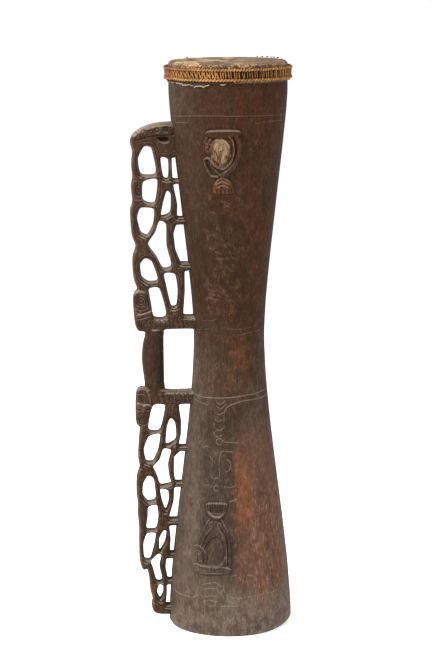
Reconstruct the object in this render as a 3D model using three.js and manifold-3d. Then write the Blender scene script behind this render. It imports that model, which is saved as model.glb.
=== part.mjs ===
// Hourglass hand drum carved from one log, with an openwork side handle.
// Millimetres, +Z up. The drum stands on its wide foot with its axis on Z.
// The handle lies towards -X, turned a little to the front, and the front faces -Y.
import * as THREE from 'three';
import { mergeVertices } from 'three/addons/utils/BufferGeometryUtils.js';
import Module from 'manifold-3d';

const wasm = await Module();
wasm.setup();

// Driving sizes of the log
const drumHeight = 922;
const footRadius = 100.5;
const footStraight = 30;
const footRounding = 4;
const waistRadius = 57;
const waistShare = 0.518;
const headRadius = 96;
const collarRebate = 2.5;
const rimWall = 12;
const waistWall = 18;
const footWear = 6.5;
const footWearReach = 0.7;
const headSwell = 1;
const footBend = { inwards: 0.15, upwards: 0.31 };
const waistBend = { below: 0.26, above: 0.19 };
const headBend = 0.19;

// Driving sizes of the handle. Its carving is laid out as shares of them.
const handleDepth = 100;
const handleTurn = THREE.MathUtils.degToRad(5);
const handleThickness = 36;
const handleEdgeThickness = 27;
const handleRoot = 13;
const openingRoot = 5;
const edgeRounding = 3;
const gripSwell = 3;
const headBlockThickness = 35;
const lowerFaceProud = 1.5;
const upperFaceProud = 1.2;
const gripWidthShare = 0.16;
const gripLengthShare = 0.52;
const pocketDepthShare = 0.3;
const cutPast = 2;

// Driving sizes of the reliefs on the front
const upperReliefHeight = 6;
const lowerReliefHeight = 4.5;
const reliefRoot = 3;

// Driving sizes of the skin head, the cane ring and the tuning wax
const skinThickness = 2;
const skinShoulder = 6;
const collarDepth = 38;
const seatGap = 0.3;
const ringDrop = 8;
const ringHeight = 21;
const ringThickness = 7.6;
const ringFootThickness = 3.6;
const ringLowerRailHeight = 4.8;
const ringBulge = 0.8;
const ringWeb = 1.6;
const ringTopTaper = 2;
const ringStrandInset = 0.4;
const ringStrandCount = 36;
const waxRadius = 2.4;
const waxFlatness = 0.8;
const waxSeatShare = 0.5;

// Fineness of the round work
const aroundSteps = 48;
const boreAroundSteps = 28;
const sideSteps = 6;
const boreSideSteps = 4;
const simplifyWithin = 0.2;

const woodTop = drumHeight - skinThickness - seatGap;
const waistHeight = drumHeight * waistShare;
const rebateRadius = headRadius - collarRebate;
const rebateHeight = drumHeight - collarDepth;
const skinRadius = rebateRadius + seatGap + skinThickness;

const darkWood = new THREE.MeshStandardMaterial({ color: 0x54463a, roughness: 0.72, metalness: 0 });
const driedSkin = new THREE.MeshStandardMaterial({ color: 0x9b8f86, roughness: 0.6, metalness: 0 });
const goldenCane = new THREE.MeshStandardMaterial({ color: 0xb07a3c, roughness: 0.5, metalness: 0 });
const darkWax = new THREE.MeshStandardMaterial({ color: 0x2a1c14, roughness: 0.5, metalness: 0 });

function solidOf(geometry) {
  const bare = geometry.clone();
  bare.deleteAttribute('normal');
  bare.deleteAttribute('uv');
  const merged = mergeVertices(bare, 1e-4);
  const vertProperties = new Float32Array(merged.attributes.position.array);
  const triVerts = new Uint32Array(merged.index.array);
  return new wasm.Manifold(new wasm.Mesh({ numProp: 3, vertProperties, triVerts }));
}

function geometryOf(solid) {
  const mesh = solid.getMesh();
  const geometry = new THREE.BufferGeometry();
  geometry.setAttribute('position', new THREE.BufferAttribute(mesh.vertProperties, 3));
  geometry.setIndex(new THREE.BufferAttribute(mesh.triVerts, 1));
  geometry.computeVertexNormals();
  return geometry;
}

// A lathe turned about Z, from points of [radius, height].
function turned(points, steps) {
  const geometry = new THREE.LatheGeometry(points, steps);
  geometry.rotateX(Math.PI / 2);
  return geometry;
}

function facesOutward(geometry) {
  return solidOf(geometry).volume() > 0 ? geometry : flipped(geometry);
}

function flipped(geometry) {
  const index = geometry.index;
  for (let corner = 0; corner < index.count; corner += 3) {
    const second = index.getX(corner + 1);
    index.setX(corner + 1, index.getX(corner + 2));
    index.setX(corner + 2, second);
  }
  return geometry;
}

function named(name, geometry, material) {
  const mesh = new THREE.Mesh(geometry, material);
  mesh.name = name;
  return mesh;
}

// The hourglass side from the foot to the head, widened or narrowed by walls at the rims and waist.
function hourglass(path, rimInset, waistInset, bottom, top) {
  const foot = footRadius - rimInset;
  const waist = waistRadius - waistInset;
  const head = headRadius - rimInset;
  const lowerSpan = waistHeight - footStraight;
  const upperSpan = woodTop - waistHeight;
  path.lineTo(foot, bottom);
  path.lineTo(foot, footStraight);
  path.bezierCurveTo(
    foot - (foot - waist) * footBend.inwards, footStraight + lowerSpan * footBend.upwards,
    waist, waistHeight - lowerSpan * waistBend.below,
    waist, waistHeight,
  );
  path.bezierCurveTo(
    waist, waistHeight + upperSpan * waistBend.above,
    head + headSwell, woodTop - upperSpan * headBend,
    head, top,
  );
}

function outerPoints() {
  const path = new THREE.Path();
  path.moveTo(0, 0);
  path.lineTo(footRadius - footRounding, 0);
  hourglass(path, 0, 0, footRounding, rebateHeight);
  path.lineTo(rebateRadius, rebateHeight);
  path.lineTo(rebateRadius, woodTop - skinShoulder);
  path.lineTo(rebateRadius - skinShoulder * 0.3, woodTop - skinShoulder * 0.3);
  path.lineTo(rebateRadius - skinShoulder, woodTop);
  path.lineTo(0, woodTop);
  return path.getPoints(sideSteps);
}

function borePoints() {
  const path = new THREE.Path();
  path.moveTo(0, -cutPast);
  path.lineTo(footRadius - rimWall, -cutPast);
  hourglass(path, rimWall, waistWall, 0, woodTop + cutPast);
  path.lineTo(0, woodTop + cutPast);
  return path.getPoints(boreSideSteps);
}

const sideOutline = (() => {
  const path = new THREE.Path();
  path.moveTo(footRadius, 0);
  hourglass(path, 0, 0, 0, rebateHeight);
  return path.getPoints(4 * sideSteps);
})();

// The radius of the drum's outside at a height.
function drumRadius(height) {
  for (let step = 1; step < sideOutline.length; step += 1) {
    const below = sideOutline[step - 1];
    const above = sideOutline[step];
    if (height <= above.y && above.y > below.y) {
      const share = Math.max(0, (height - below.y) / (above.y - below.y));
      return below.x + share * (above.x - below.x);
    }
  }
  return sideOutline[sideOutline.length - 1].x;
}

// The carving of the handle is laid out in points of [percent of the handle's depth out from the
// drum's side, thousandths of the drum's height up].
function handlePoint([outward, upward]) {
  const height = upward / 1000 * drumHeight;
  return new THREE.Vector2(drumRadius(height) + outward / 100 * handleDepth, height);
}

function anticlockwise(points) {
  return THREE.ShapeUtils.isClockWise(points) ? points.slice().reverse() : points;
}

// A closed outline whose corners are rounded off over a share of the sides beside them.
function softened(path, points, share, steps) {
  const count = points.length;
  const between = (a, b, part) => a.clone().lerp(b, part);
  const outline = [];
  for (let corner = 0; corner < count; corner += 1) {
    const before = points[(corner + count - 1) % count];
    const here = points[corner];
    const after = points[(corner + 1) % count];
    const arc = new THREE.QuadraticBezierCurve(between(here, before, share), here, between(here, after, share));
    outline.push(...arc.getPoints(steps));
  }
  path.setFromPoints(anticlockwise(outline));
  return path;
}

// The outside edge of the openwork from the drum at the top, around and back to it at the bottom.
const handleEdge = [
  [14, 894], [32, 891], [49, 885], [64, 874], [69, 861], [66, 845], [71, 822], [71, 801], [76, 784],
  [76, 756], [82, 744], [84, 712], [84, 695], [79, 680], [88, 660], [90, 622], [84, 602], [94, 594],
  [94, 531], [76, 528], [82, 506], [83, 480], [80, 458], [74, 427], [88, 428], [89, 414], [86, 374],
  [83, 362], [77, 358], [77, 335], [75, 301], [70, 286], [74, 270], [71, 239], [66, 218], [65, 201],
  [60, 176], [58, 151], [54, 114], [48, 97], [41, 101], [36, 84], [33, 60], [27, 41], [30, 36],
  [27, 20], [16, 16],
];

// The openings that go right through, each by its corners. Those that reach the drum's side
// leave that side to the drum itself.
const openings = [
  [[36, 852], [48, 853], [60, 832], [59, 804], [32, 804]],
  [[24, 835], [11, 831], [15, 797], [23, 799]],
  [[57, 793], [31, 798], [41, 753], [61, 759]],
  [[66, 747], [43, 745], [48, 718], [60, 698], [70, 704], [73, 729]],
  [[20, 776], [14, 770], [18, 737], [35, 731], [28, 755]],
  [[38, 724], [27, 718], [32, 679], [26, 643], [41, 639], [49, 662], [62, 683], [46, 703]],
  [[68, 658], [58, 653], [50, 618], [67, 617], [77, 626], [77, 648]],
  [[68, 605], [50, 607], [41, 553], [64, 553], [66, 584]],
  [[41, 632], [22, 630], [21, 600], [25, 573], [34, 572], [38, 605]],
  [[62, 398], [39, 398], [44, 349], [65, 351]],
  [[30, 374], [21, 363], [16, 333], [33, 323], [34, 357]],
  [[43, 346], [62, 342], [68, 318], [62, 296], [50, 295], [44, 316]],
  [[36, 319], [22, 315], [26, 288], [20, 262], [16, 255], [34, 251], [42, 273], [50, 285], [39, 299]],
  [[56, 270], [46, 264], [38, 226], [50, 222], [61, 235], [62, 256]],
  [[34, 246], [20, 242], [17, 222], [20, 205], [28, 224]],
  [[50, 213], [36, 217], [31, 194], [32, 171], [49, 172], [48, 195]],
  [[47, 165], [32, 165], [33, 143], [37, 116], [47, 118], [51, 145]],
  [[20, 170], [15, 166], [16, 146], [23, 130], [26, 154]],
  [[25, 127], [19, 122], [22, 103], [14, 76], [24, 76], [31, 100], [37, 113]],
  [[20, 71], [13, 67], [12, 54], [16, 43], [22, 55]],
];

const openingsAtDrum = [
  [[6, 833], [9, 796]],
  [[9, 787], [6, 752], [9, 730]],
  [[12, 716], [18, 700], [18, 672], [12, 650]],
  [[7, 635], [10, 598], [16, 556]],
  [[49, 532], [48, 479], [44, 423]],
  [[19, 398], [12, 366], [10, 344], [12, 323]],
  [[9, 313], [17, 303], [14, 272], [10, 258]],
  [[11, 248], [9, 222], [14, 191]],
  [[12, 178], [7, 153], [6, 129]],
  [[11, 118], [11, 100], [6, 80]],
  [[7, 70], [6, 51], [7, 33]],
];

function handleRootPoints() {
  const lowest = handleEdge[handleEdge.length - 1][1];
  const highest = handleEdge[0][1];
  const steps = 12;
  const points = [];
  for (let step = 0; step <= steps; step += 1) {
    const height = (lowest + (highest - lowest) * step / steps) / 1000 * drumHeight;
    points.push(new THREE.Vector2(drumRadius(height) - handleRoot, height));
  }
  return points;
}

// How thick the handle is at a distance from the drum's axis: it thins towards its outer edge.
function handleThicknessAt(distance) {
  const reach = waistRadius + handleDepth;
  const share = THREE.MathUtils.clamp((distance - waistRadius) / (reach - waistRadius), 0, 1);
  return handleThickness + share * (handleEdgeThickness - handleThickness);
}

// Turns a geometry drawn in [distance out, height] with its thickness along Z into the handle's plane.
function laidInHandle(geometry) {
  geometry.rotateX(Math.PI / 2);
  geometry.rotateZ(Math.PI + handleTurn);
  return geometry;
}

// An outline moved outwards by a distance, or inwards by a negative one.
function spread(outline, distance) {
  const count = outline.length;
  return outline.map((here, corner) => {
    const before = outline[(corner + count - 1) % count];
    const after = outline[(corner + 1) % count];
    const entering = here.clone().sub(before).normalize();
    const leaving = after.clone().sub(here).normalize();
    const outwards = new THREE.Vector2(entering.y + leaving.y, -entering.x - leaving.x);
    const opening = Math.max(0.5, 1 + entering.dot(leaving));
    return here.clone().addScaledVector(outwards, distance / opening);
  });
}

// A closed solid skinned over outlines that lie one behind another, each with as many points.
// A layer gives how far the outline is spread there, and its depth from the handle's face.
function skinned(outline, layers) {
  const count = outline.length;
  const vertices = [];
  for (const { spreading, inFromFace, side } of layers) {
    for (const point of spread(outline, spreading)) {
      const depth = side * (handleThicknessAt(point.x) / 2 - inFromFace);
      vertices.push(point.x, point.y, depth);
    }
  }
  const triangles = [];
  for (let layer = 0; layer < layers.length - 1; layer += 1) {
    for (let corner = 0; corner < count; corner += 1) {
      const here = layer * count + corner;
      const next = layer * count + (corner + 1) % count;
      triangles.push(here, next, next + count, here, next + count, here + count);
    }
  }
  const lastLayer = (layers.length - 1) * count;
  for (const [first, second, third] of THREE.ShapeUtils.triangulateShape(outline, [])) {
    triangles.push(lastLayer + first, lastLayer + second, lastLayer + third);
    triangles.push(first, third, second);
  }
  const geometry = new THREE.BufferGeometry();
  geometry.setAttribute('position', new THREE.Float32BufferAttribute(vertices, 3));
  geometry.setIndex(triangles);
  return solidOf(laidInHandle(geometry));
}

// The plain board of the handle, its edges taken off all round.
function handleBoard() {
  const outline = anticlockwise([...handleEdge.map(handlePoint), ...handleRootPoints()]);
  return skinned(outline, [
    { spreading: -edgeRounding, inFromFace: 0, side: -1 },
    { spreading: 0, inFromFace: edgeRounding, side: -1 },
    { spreading: 0, inFromFace: edgeRounding, side: 1 },
    { spreading: -edgeRounding, inFromFace: 0, side: 1 },
  ]);
}

// The tool that cuts an opening straight through.
function straightCutter(outline) {
  return skinned(outline, [
    { spreading: 0, inFromFace: -cutPast, side: -1 },
    { spreading: 0, inFromFace: -cutPast, side: 1 },
  ]);
}

// The tool that cuts an opening right through, wider at both faces by the rounding.
function roundedCutter(outline) {
  return skinned(outline, [
    { spreading: edgeRounding + cutPast, inFromFace: -cutPast, side: -1 },
    { spreading: 0, inFromFace: edgeRounding, side: -1 },
    { spreading: 0, inFromFace: edgeRounding, side: 1 },
    { spreading: edgeRounding + cutPast, inFromFace: -cutPast, side: 1 },
  ]);
}

function openingCutters() {
  const cutters = openings.map((corners) => (
    roundedCutter(softened(new THREE.Path(), corners.map(handlePoint), 0.3, 1).getPoints())
  ));
  for (const corners of openingsAtDrum) {
    const outer = corners.map(handlePoint);
    const top = outer[0].y;
    const bottom = outer[outer.length - 1].y;
    const inner = [bottom, (top + bottom) / 2, top].map((height) => (
      new THREE.Vector2(drumRadius(height) - openingRoot, height)
    ));
    cutters.push(straightCutter(anticlockwise([...outer, ...inner])));
  }
  return cutters;
}

// The grip between the two crossbars swells into a barrel.
function gripBarrel() {
  const low = handlePoint([62, 423]);
  const high = handlePoint([66, 532]);
  const middle = low.clone().lerp(high, 0.5);
  const barrel = new THREE.SphereGeometry(1, 14, 8);
  barrel.rotateX(Math.PI / 2);
  const halfWidth = handleDepth * gripWidthShare;
  const halfThickness = handleThicknessAt(middle.x) / 2 + gripSwell;
  barrel.scale(halfWidth, halfThickness, (high.y - low.y) * gripLengthShare);
  barrel.translate(middle.x, 0, middle.y);
  barrel.rotateZ(Math.PI + handleTurn);
  return solidOf(barrel);
}

function headBlock(corners) {
  const shape = softened(new THREE.Shape(), corners.map(handlePoint), 0.3, 2);
  const geometry = new THREE.ExtrudeGeometry(shape, {
    depth: headBlockThickness - 2 * edgeRounding,
    bevelEnabled: true,
    bevelThickness: edgeRounding,
    bevelSize: edgeRounding,
    bevelOffset: -edgeRounding,
    bevelSegments: 1,
  });
  geometry.translate(0, 0, edgeRounding - headBlockThickness / 2);
  return solidOf(laidInHandle(geometry));
}

// A low carved bar, on both faces of the handle, from corner points of the layout.
function facePiece(corners, proud) {
  const shape = softened(new THREE.Shape(), corners.map(handlePoint), 0.3, 1);
  const depth = headBlockThickness + 2 * proud;
  const geometry = new THREE.ExtrudeGeometry(shape, { depth, bevelEnabled: false });
  geometry.translate(0, 0, -depth / 2);
  return solidOf(laidInHandle(geometry));
}

const upperHeadBlock = [[93, 604], [73, 604], [65, 585], [63, 529], [92, 528], [95, 540], [95, 595]];
const lowerHeadBlock = [[89, 429], [74, 429], [62, 412], [60, 396], [64, 366], [80, 359], [87, 366], [91, 392]];

// Brow, nose, lips and chin of the lower carved head, which looks out of both faces.
const lowerFace = [
  [[90, 411], [79, 410], [64, 412], [66, 405], [80, 403], [90, 404]],
  [[80, 405], [75, 405], [74, 391], [82, 391]],
  [[84, 386], [73, 386], [72, 379], [84, 378]],
  [[87, 373], [68, 374], [68, 369], [85, 367]],
];

// The band and the ridges of the upper carved head.
const upperFace = [
  [[95, 600], [75, 600], [74, 594], [95, 594]],
  [[95, 558], [67, 564], [67, 557], [95, 551]],
  [[95, 536], [66, 536], [66, 531], [93, 531]],
];

function handle() {
  let solid = handleBoard();
  for (const cutter of openingCutters()) {
    solid = solid.subtract(cutter);
  }
  solid = solid.add(gripBarrel());
  solid = solid.add(headBlock(upperHeadBlock)).add(headBlock(lowerHeadBlock));
  for (const corners of lowerFace) {
    solid = solid.add(facePiece(corners, lowerFaceProud));
  }
  for (const corners of upperFace) {
    solid = solid.add(facePiece(corners, upperFaceProud));
  }
  return solid.subtract(capPocket(1)).subtract(capPocket(-1));
}

// The dark pocket under the cap, cut into each face of the handle.
function capPocket(side) {
  const corners = [[34, 870], [12, 874], [10, 862], [22, 856], [34, 862]];
  const shape = softened(new THREE.Shape(), corners.map(handlePoint), 0.2, 1);
  const depth = handleThickness;
  const geometry = new THREE.ExtrudeGeometry(shape, { depth, bevelEnabled: false });
  const floor = handleThickness * (0.5 - pocketDepthShare);
  geometry.translate(0, 0, side > 0 ? floor : -floor - depth);
  return solidOf(laidInHandle(geometry));
}

// The reliefs are drawn as seen from the front, in thousandths of the drum's height
// across from its middle and up. Each stands proud of the drum's side by its own height.
function reliefPoint([across, upward]) {
  return new THREE.Vector2(across, upward).multiplyScalar(drumHeight / 1000);
}

function proudShell(proud) {
  const path = new THREE.Path();
  path.moveTo(0, 0);
  hourglass(path, -proud, -proud, 0, rebateHeight);
  path.lineTo(0, rebateHeight);
  return solidOf(facesOutward(turned(path.getPoints(sideSteps), aroundSteps)));
}

function frontPrism(corners, share) {
  const shape = softened(new THREE.Shape(), corners.map(reliefPoint), share, 2);
  const geometry = new THREE.ExtrudeGeometry(shape, { depth: 2 * footRadius, bevelEnabled: false });
  geometry.rotateX(Math.PI / 2);
  return solidOf(geometry);
}

const upperRelief = [
  { corners: [[-39, 888], [21, 889], [21, 874], [-39, 874]], share: 0.1 },
  {
    corners: [[-3, 878], [13, 876], [19, 858], [15, 835], [4, 816], [-3, 806], [-18, 806], [-30, 813],
      [-43, 838], [-36, 843], [-27, 832], [-17, 823], [-6, 823], [2, 831], [7, 850], [4, 866]],
    share: 0.25,
  },
  { corners: [[-27, 777], [-24, 795], [-15, 808], [-5, 808], [4, 796], [9, 777]], share: 0.3 },
];

const lowerRelief = [
  { corners: [[-44, 237], [-2, 239], [-7, 218], [-16, 204], [-29, 204], [-39, 218]], share: 0.25 },
  {
    corners: [[-22, 210], [-8, 192], [0, 155], [-1, 118], [-59, 118], [-57, 150], [-48, 185], [-33, 208]],
    hole: [[-29, 181], [-43, 164], [-49, 141], [-46, 126], [-16, 126], [-10, 142], [-11, 166], [-21, 180]],
    share: 0.25,
  },
  { corners: [[-60, 124], [-1, 126], [4, 113], [-60, 109]], share: 0.1 },
];

function reliefs(pieces, proud) {
  const shell = proudShell(proud);
  let whole = null;
  for (const { corners, hole, share } of pieces) {
    let piece = frontPrism(corners, share).intersect(shell);
    if (hole) {
      piece = piece.subtract(frontPrism(hole, share));
    }
    whole = whole ? whole.add(piece) : piece;
  }
  return whole.subtract(proudShell(-reliefRoot));
}

// The shell-like boss inside the upper loop, a low dome lying on the drum's side.
function loopBoss() {
  const middle = reliefPoint([-11, 847]);
  const around = middle.x / drumRadius(middle.y);
  const dome = new THREE.SphereGeometry(1, 12, 8);
  dome.scale(drumHeight * 0.016, upperReliefHeight * 0.7, drumHeight * 0.022);
  dome.translate(0, -drumRadius(middle.y), middle.y);
  dome.rotateZ(around);
  return solidOf(dome);
}

// The right-hand edge of the foot is worn away, rising to the drum's side.
function wornEdge() {
  const run = footRadius * footWearReach;
  const shape = new THREE.Shape();
  shape.moveTo(footRadius - run, 0);
  shape.lineTo(footRadius + cutPast, footWear * (run + cutPast) / run);
  shape.lineTo(footRadius + cutPast, -cutPast);
  shape.lineTo(footRadius - run, -cutPast);
  const geometry = new THREE.ExtrudeGeometry(shape, { depth: 3 * footRadius, bevelEnabled: false });
  geometry.rotateX(Math.PI / 2);
  geometry.translate(0, 1.5 * footRadius, 0);
  return solidOf(geometry);
}

function drumBody() {
  let solid = solidOf(facesOutward(turned(outerPoints(), aroundSteps)));
  solid = solid.add(handle());
  solid = solid.add(reliefs(upperRelief, upperReliefHeight)).add(reliefs(lowerRelief, lowerReliefHeight));
  solid = solid.add(loopBoss());
  solid = solid.subtract(solidOf(facesOutward(turned(borePoints(), boreAroundSteps))));
  return geometryOf(solid.subtract(wornEdge()).simplify(simplifyWithin));
}

// The skin lies over the head and folds down round the rim to its collar.
function drumSkin() {
  const path = new THREE.Path();
  const inside = rebateRadius + seatGap;
  const underside = woodTop + seatGap;
  path.moveTo(0, underside);
  path.lineTo(inside - skinShoulder, underside);
  path.quadraticCurveTo(inside, underside, inside, underside - skinShoulder);
  path.lineTo(inside, rebateHeight + seatGap);
  path.lineTo(skinRadius, rebateHeight + seatGap);
  path.lineTo(skinRadius, drumHeight - skinShoulder);
  path.quadraticCurveTo(skinRadius, drumHeight, skinRadius - skinShoulder, drumHeight);
  path.lineTo(0, drumHeight);
  return facesOutward(turned(path.getPoints(2), aroundSteps));
}

// The plaited ring: a round braided rail above and a slimmer one below, with strands between.
function rattanRing() {
  const inside = skinRadius + seatGap;
  const top = drumHeight - ringDrop;
  const bottom = top - ringHeight;
  const upperRail = ringThickness / 2;
  const lowerRail = ringLowerRailHeight / 2;
  const path = new THREE.Path();
  path.moveTo(inside, bottom);
  path.lineTo(inside + ringFootThickness, bottom);
  path.lineTo(inside + ringFootThickness + ringBulge, bottom + lowerRail);
  path.lineTo(inside + ringWeb, bottom + 2 * lowerRail);
  path.lineTo(inside + ringWeb, top - 2 * upperRail);
  path.lineTo(inside + ringThickness, top - upperRail);
  path.lineTo(inside + ringThickness - ringTopTaper, top);
  path.lineTo(inside, top);
  path.lineTo(inside, bottom);
  let solid = solidOf(facesOutward(turned(path.getPoints(1), aroundSteps)));
  const strandHeight = ringHeight - 2 * upperRail;
  for (let strand = 0; strand < ringStrandCount; strand += 1) {
    const depth = ringThickness / 2;
    const geometry = new THREE.BoxGeometry(depth, inside * Math.PI / ringStrandCount, strandHeight);
    geometry.translate(inside + ringStrandInset + depth / 2, 0, bottom + lowerRail + strandHeight / 2);
    geometry.rotateZ(2 * Math.PI * strand / ringStrandCount);
    solid = solid.add(solidOf(geometry));
  }
  return geometryOf(solid);
}

// Lumps of tuning wax: [angle round the head in degrees from +X, share of the way out to the rim].
const waxPlaces = [[56, 0.9], [49, 0.89], [42, 0.9], [36, 0.91], [30, 0.9], [23, 0.91], [141, 0.88], [-9, 0.9]];

function waxPellet([angle, share], size) {
  const pellet = new THREE.SphereGeometry(waxRadius * size, 7, 4);
  pellet.scale(1, 1, waxFlatness);
  pellet.rotateX(Math.PI / 2);
  const position = pellet.attributes.position;
  const floor = -waxRadius * size * waxSeatShare;
  for (let vertex = 0; vertex < position.count; vertex += 1) {
    position.setZ(vertex, Math.max(position.getZ(vertex), floor));
  }
  const turn = THREE.MathUtils.degToRad(angle);
  const distance = skinRadius * share;
  pellet.translate(Math.cos(turn) * distance, Math.sin(turn) * distance, drumHeight + seatGap - floor);
  return pellet;
}

const group = new THREE.Group();
group.add(named('drum_body', drumBody(), darkWood));
group.add(named('drum_skin', drumSkin(), driedSkin));
group.add(named('rattan_ring', rattanRing(), goldenCane));
waxPlaces.forEach((place, number) => {
  const size = 0.85 + 0.1 * (number % 3);
  group.add(named(`wax_pellet_${number + 1}`, waxPellet(place, size), darkWax));
});

// The part's origin is the middle of its footprint, at the floor.
const bounds = new THREE.Box3().setFromObject(group);
const middle = bounds.getCenter(new THREE.Vector3());
group.position.set(-middle.x, -middle.y, -bounds.min.z);
group.updateMatrixWorld(true);

export default group;
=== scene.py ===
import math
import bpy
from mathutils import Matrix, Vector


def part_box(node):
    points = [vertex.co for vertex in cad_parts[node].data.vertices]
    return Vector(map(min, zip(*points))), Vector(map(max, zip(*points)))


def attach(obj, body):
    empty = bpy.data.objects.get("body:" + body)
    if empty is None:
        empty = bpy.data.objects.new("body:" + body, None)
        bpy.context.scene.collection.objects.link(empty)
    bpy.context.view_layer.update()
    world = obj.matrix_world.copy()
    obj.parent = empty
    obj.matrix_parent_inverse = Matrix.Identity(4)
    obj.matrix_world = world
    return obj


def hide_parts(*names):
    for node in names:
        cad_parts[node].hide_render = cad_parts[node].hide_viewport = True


bl_info = {
    "name": "Carved hourglass drum",
    "version": (1, 0, 0),
    "blender": (4, 5, 0),
    "location": "View3D > Sidebar > Drum",
    "description": "Dresses the hourglass hand drum: carved log, openwork handle, skin head, cane ring, wax",
    "category": "Object",
}

import bpy
import numpy as np
from bpy.props import FloatProperty, FloatVectorProperty, IntProperty, PointerProperty
from mathutils import Matrix, Vector, noise
from mathutils.bvhtree import BVHTree

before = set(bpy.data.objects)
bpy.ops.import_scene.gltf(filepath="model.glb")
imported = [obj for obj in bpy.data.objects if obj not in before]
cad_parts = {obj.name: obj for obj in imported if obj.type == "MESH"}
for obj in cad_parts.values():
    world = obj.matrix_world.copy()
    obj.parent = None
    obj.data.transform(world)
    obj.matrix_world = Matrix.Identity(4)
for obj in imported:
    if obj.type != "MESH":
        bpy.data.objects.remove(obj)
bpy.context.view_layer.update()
skin_low, skin_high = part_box("drum_skin")
AXIS = (skin_low + skin_high) / 2
MM = 0.001
DRUM_HEIGHT = skin_high.z / MM
HANDLE_TURN = math.radians(5)
HANDLE_DEPTH = 100.0
RING_LOW, RING_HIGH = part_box("rattan_ring")

# Incised lines of the front, each by its points of [degrees round from the front, mm up]
INCISED = [
    [(-72, 836), (-50, 838), (-29, 840), (0, 840), (32, 839), (62, 837), (78, 836)],
    [(-68, 826), (-56, 827), (-44, 828)],
    [(28, 827), (48, 829), (70, 828)],
    [(21, 801), (23, 787), (28, 783), (32, 787), (35, 801)],
    [(-6, 705), (-8, 699), (1, 696), (1, 700), (-5, 706)],
    [(12, 709), (15, 705), (20, 704), (23, 708)],
    [(-27, 670), (-26, 682), (-21, 686), (-15, 684)],
    [(1, 680), (6, 685), (13, 685), (15, 680), (13, 670)],
    [(-22, 714), (-22, 701), (-29, 699)],
    [(-28, 630), (-22, 627), (-16, 631), (-15, 637)],
    [(-6, 637), (-4, 631), (2, 635), (5, 639)],
    [(-7, 624), (4, 622), (8, 625), (6, 631)],
    [(-18, 622), (-8, 619), (-7, 614), (-13, 610), (-16, 612), (-13, 617)],
    [(-4, 611), (4, 613), (12, 610), (13, 602), (9, 597)],
    [(-10, 606), (-10, 595), (-7, 590), (-7, 578)],
    [(-32, 570), (-31, 561), (-24, 558), (-18, 562)],
    [(-8, 555), (-1, 551), (4, 554)],
    [(-37, 542), (-32, 547), (-26, 544)],
    [(-22, 549), (-16, 552), (-12, 549), (-13, 544), (-19, 545)],
    [(-12, 535), (-6, 542), (2, 545), (8, 542)],
    [(6, 532), (11, 539)],
    [(-21, 535), (-15, 523), (-20, 517), (-15, 514)],
    [(-20, 527), (-20, 518), (-26, 511), (-48, 509)],
    [(-26, 654), (-20, 650), (-14, 655), (-12, 664)],
    [(-1, 652), (3, 661), (9, 660), (11, 651)],
    [(-12, 648), (-8, 656), (-4, 648), (-8, 641)],
    [(-26, 640), (-28, 646), (-22, 650), (-16, 645)],
    [(10, 640), (15, 636), (16, 627), (11, 621)],
    [(-24, 606), (-22, 598), (-17, 594), (-13, 598)],
    [(-16, 588), (-16, 577), (-19, 569)],
    [(-3, 592), (-3, 580), (0, 570), (5, 566)],
    [(3, 604), (7, 601), (8, 595), (3, 592), (-1, 597)],
    [(-28, 592), (-25, 584), (-20, 583), (-19, 588)],
    [(8, 582), (13, 578), (14, 569), (9, 564)],
    [(-29, 580), (-31, 572), (-26, 567)],
    [(-13, 566), (-9, 560), (-4, 562), (-3, 569)],
    [(-4, 536), (-6, 528), (-2, 522), (4, 524), (5, 530)],
    [(-30, 533), (-34, 527), (-30, 521), (-26, 524)],
    [(12, 553), (17, 548), (16, 540), (11, 536)],
    [(-12, 690), (-8, 684), (-3, 688)],
    [(-18, 667), (-15, 661), (-9, 662)],
    [(-7, 340), (-14, 334), (-21, 338), (-22, 345)],
    [(-22, 330), (-18, 324), (-11, 326)],
    [(-26, 292), (-22, 284), (-24, 275)],
    [(-4, 288), (1, 282), (0, 272), (-5, 268)],
    [(-24, 262), (-20, 256), (-14, 258)],
    [(-71, 491), (-44, 495), (-30, 497), (-26, 500), (-22, 507), (-20, 524)],
    [(-8, 501), (-1, 498), (12, 497), (25, 497), (41, 499), (60, 502)],
    [(6, 488), (21, 488), (37, 490), (60, 491)],
    [(-73, 388), (-54, 385), (-34, 385), (-15, 386), (2, 387), (20, 389), (37, 390), (53, 391), (72, 393)],
    [(-71, 381), (-61, 378), (-45, 375), (-32, 373)],
    [(-8, 349), (-8, 355), (-7, 365), (-3, 372), (7, 377), (21, 381), (36, 381), (52, 381), (70, 383)],
    [(-19, 378), (-13, 376), (-6, 382)],
    [(-19, 372), (-13, 369), (-7, 374)],
    [(-21, 362), (-15, 359), (-9, 363)],
    [(-21, 351), (-16, 348), (-11, 351)],
    [(-9, 318), (-6, 316), (13, 314)],
    [(-37, 304), (-32, 307), (-25, 305)],
    [(-14, 281), (-13, 290), (-11, 299), (-8, 301), (3, 300)],
    [(-12, 254), (-13, 270), (-14, 281)],
    [(-32, 246), (-29, 244), (-25, 247)],
    [(-7, 244), (0, 243), (6, 246), (7, 252)],
    [(-1, 220), (7, 224), (9, 229)],
    [(-90, 66), (-64, 60), (-41, 60), (-35, 63), (-34, 70), (-32, 82), (-31, 95)],
    [(-28, 84), (-23, 86), (-15, 89), (-9, 83)],
    [(-29, 65), (-28, 75), (-19, 79), (-13, 77), (-8, 69)],
    [(-29, 63), (-25, 64), (-18, 67), (-13, 65)],
    [(-29, 55), (-21, 59), (-16, 59), (-13, 57)],
    [(-6, 88), (-6, 75), (-2, 67), (9, 63), (18, 65), (37, 66), (49, 66), (62, 70), (76, 75)],
    [(12, 86), (14, 98), (20, 100), (26, 92), (26, 77)],
    [(-21, 50), (-7, 51), (7, 51)],
    [(1, 100), (6, 102), (10, 94)],
]

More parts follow.
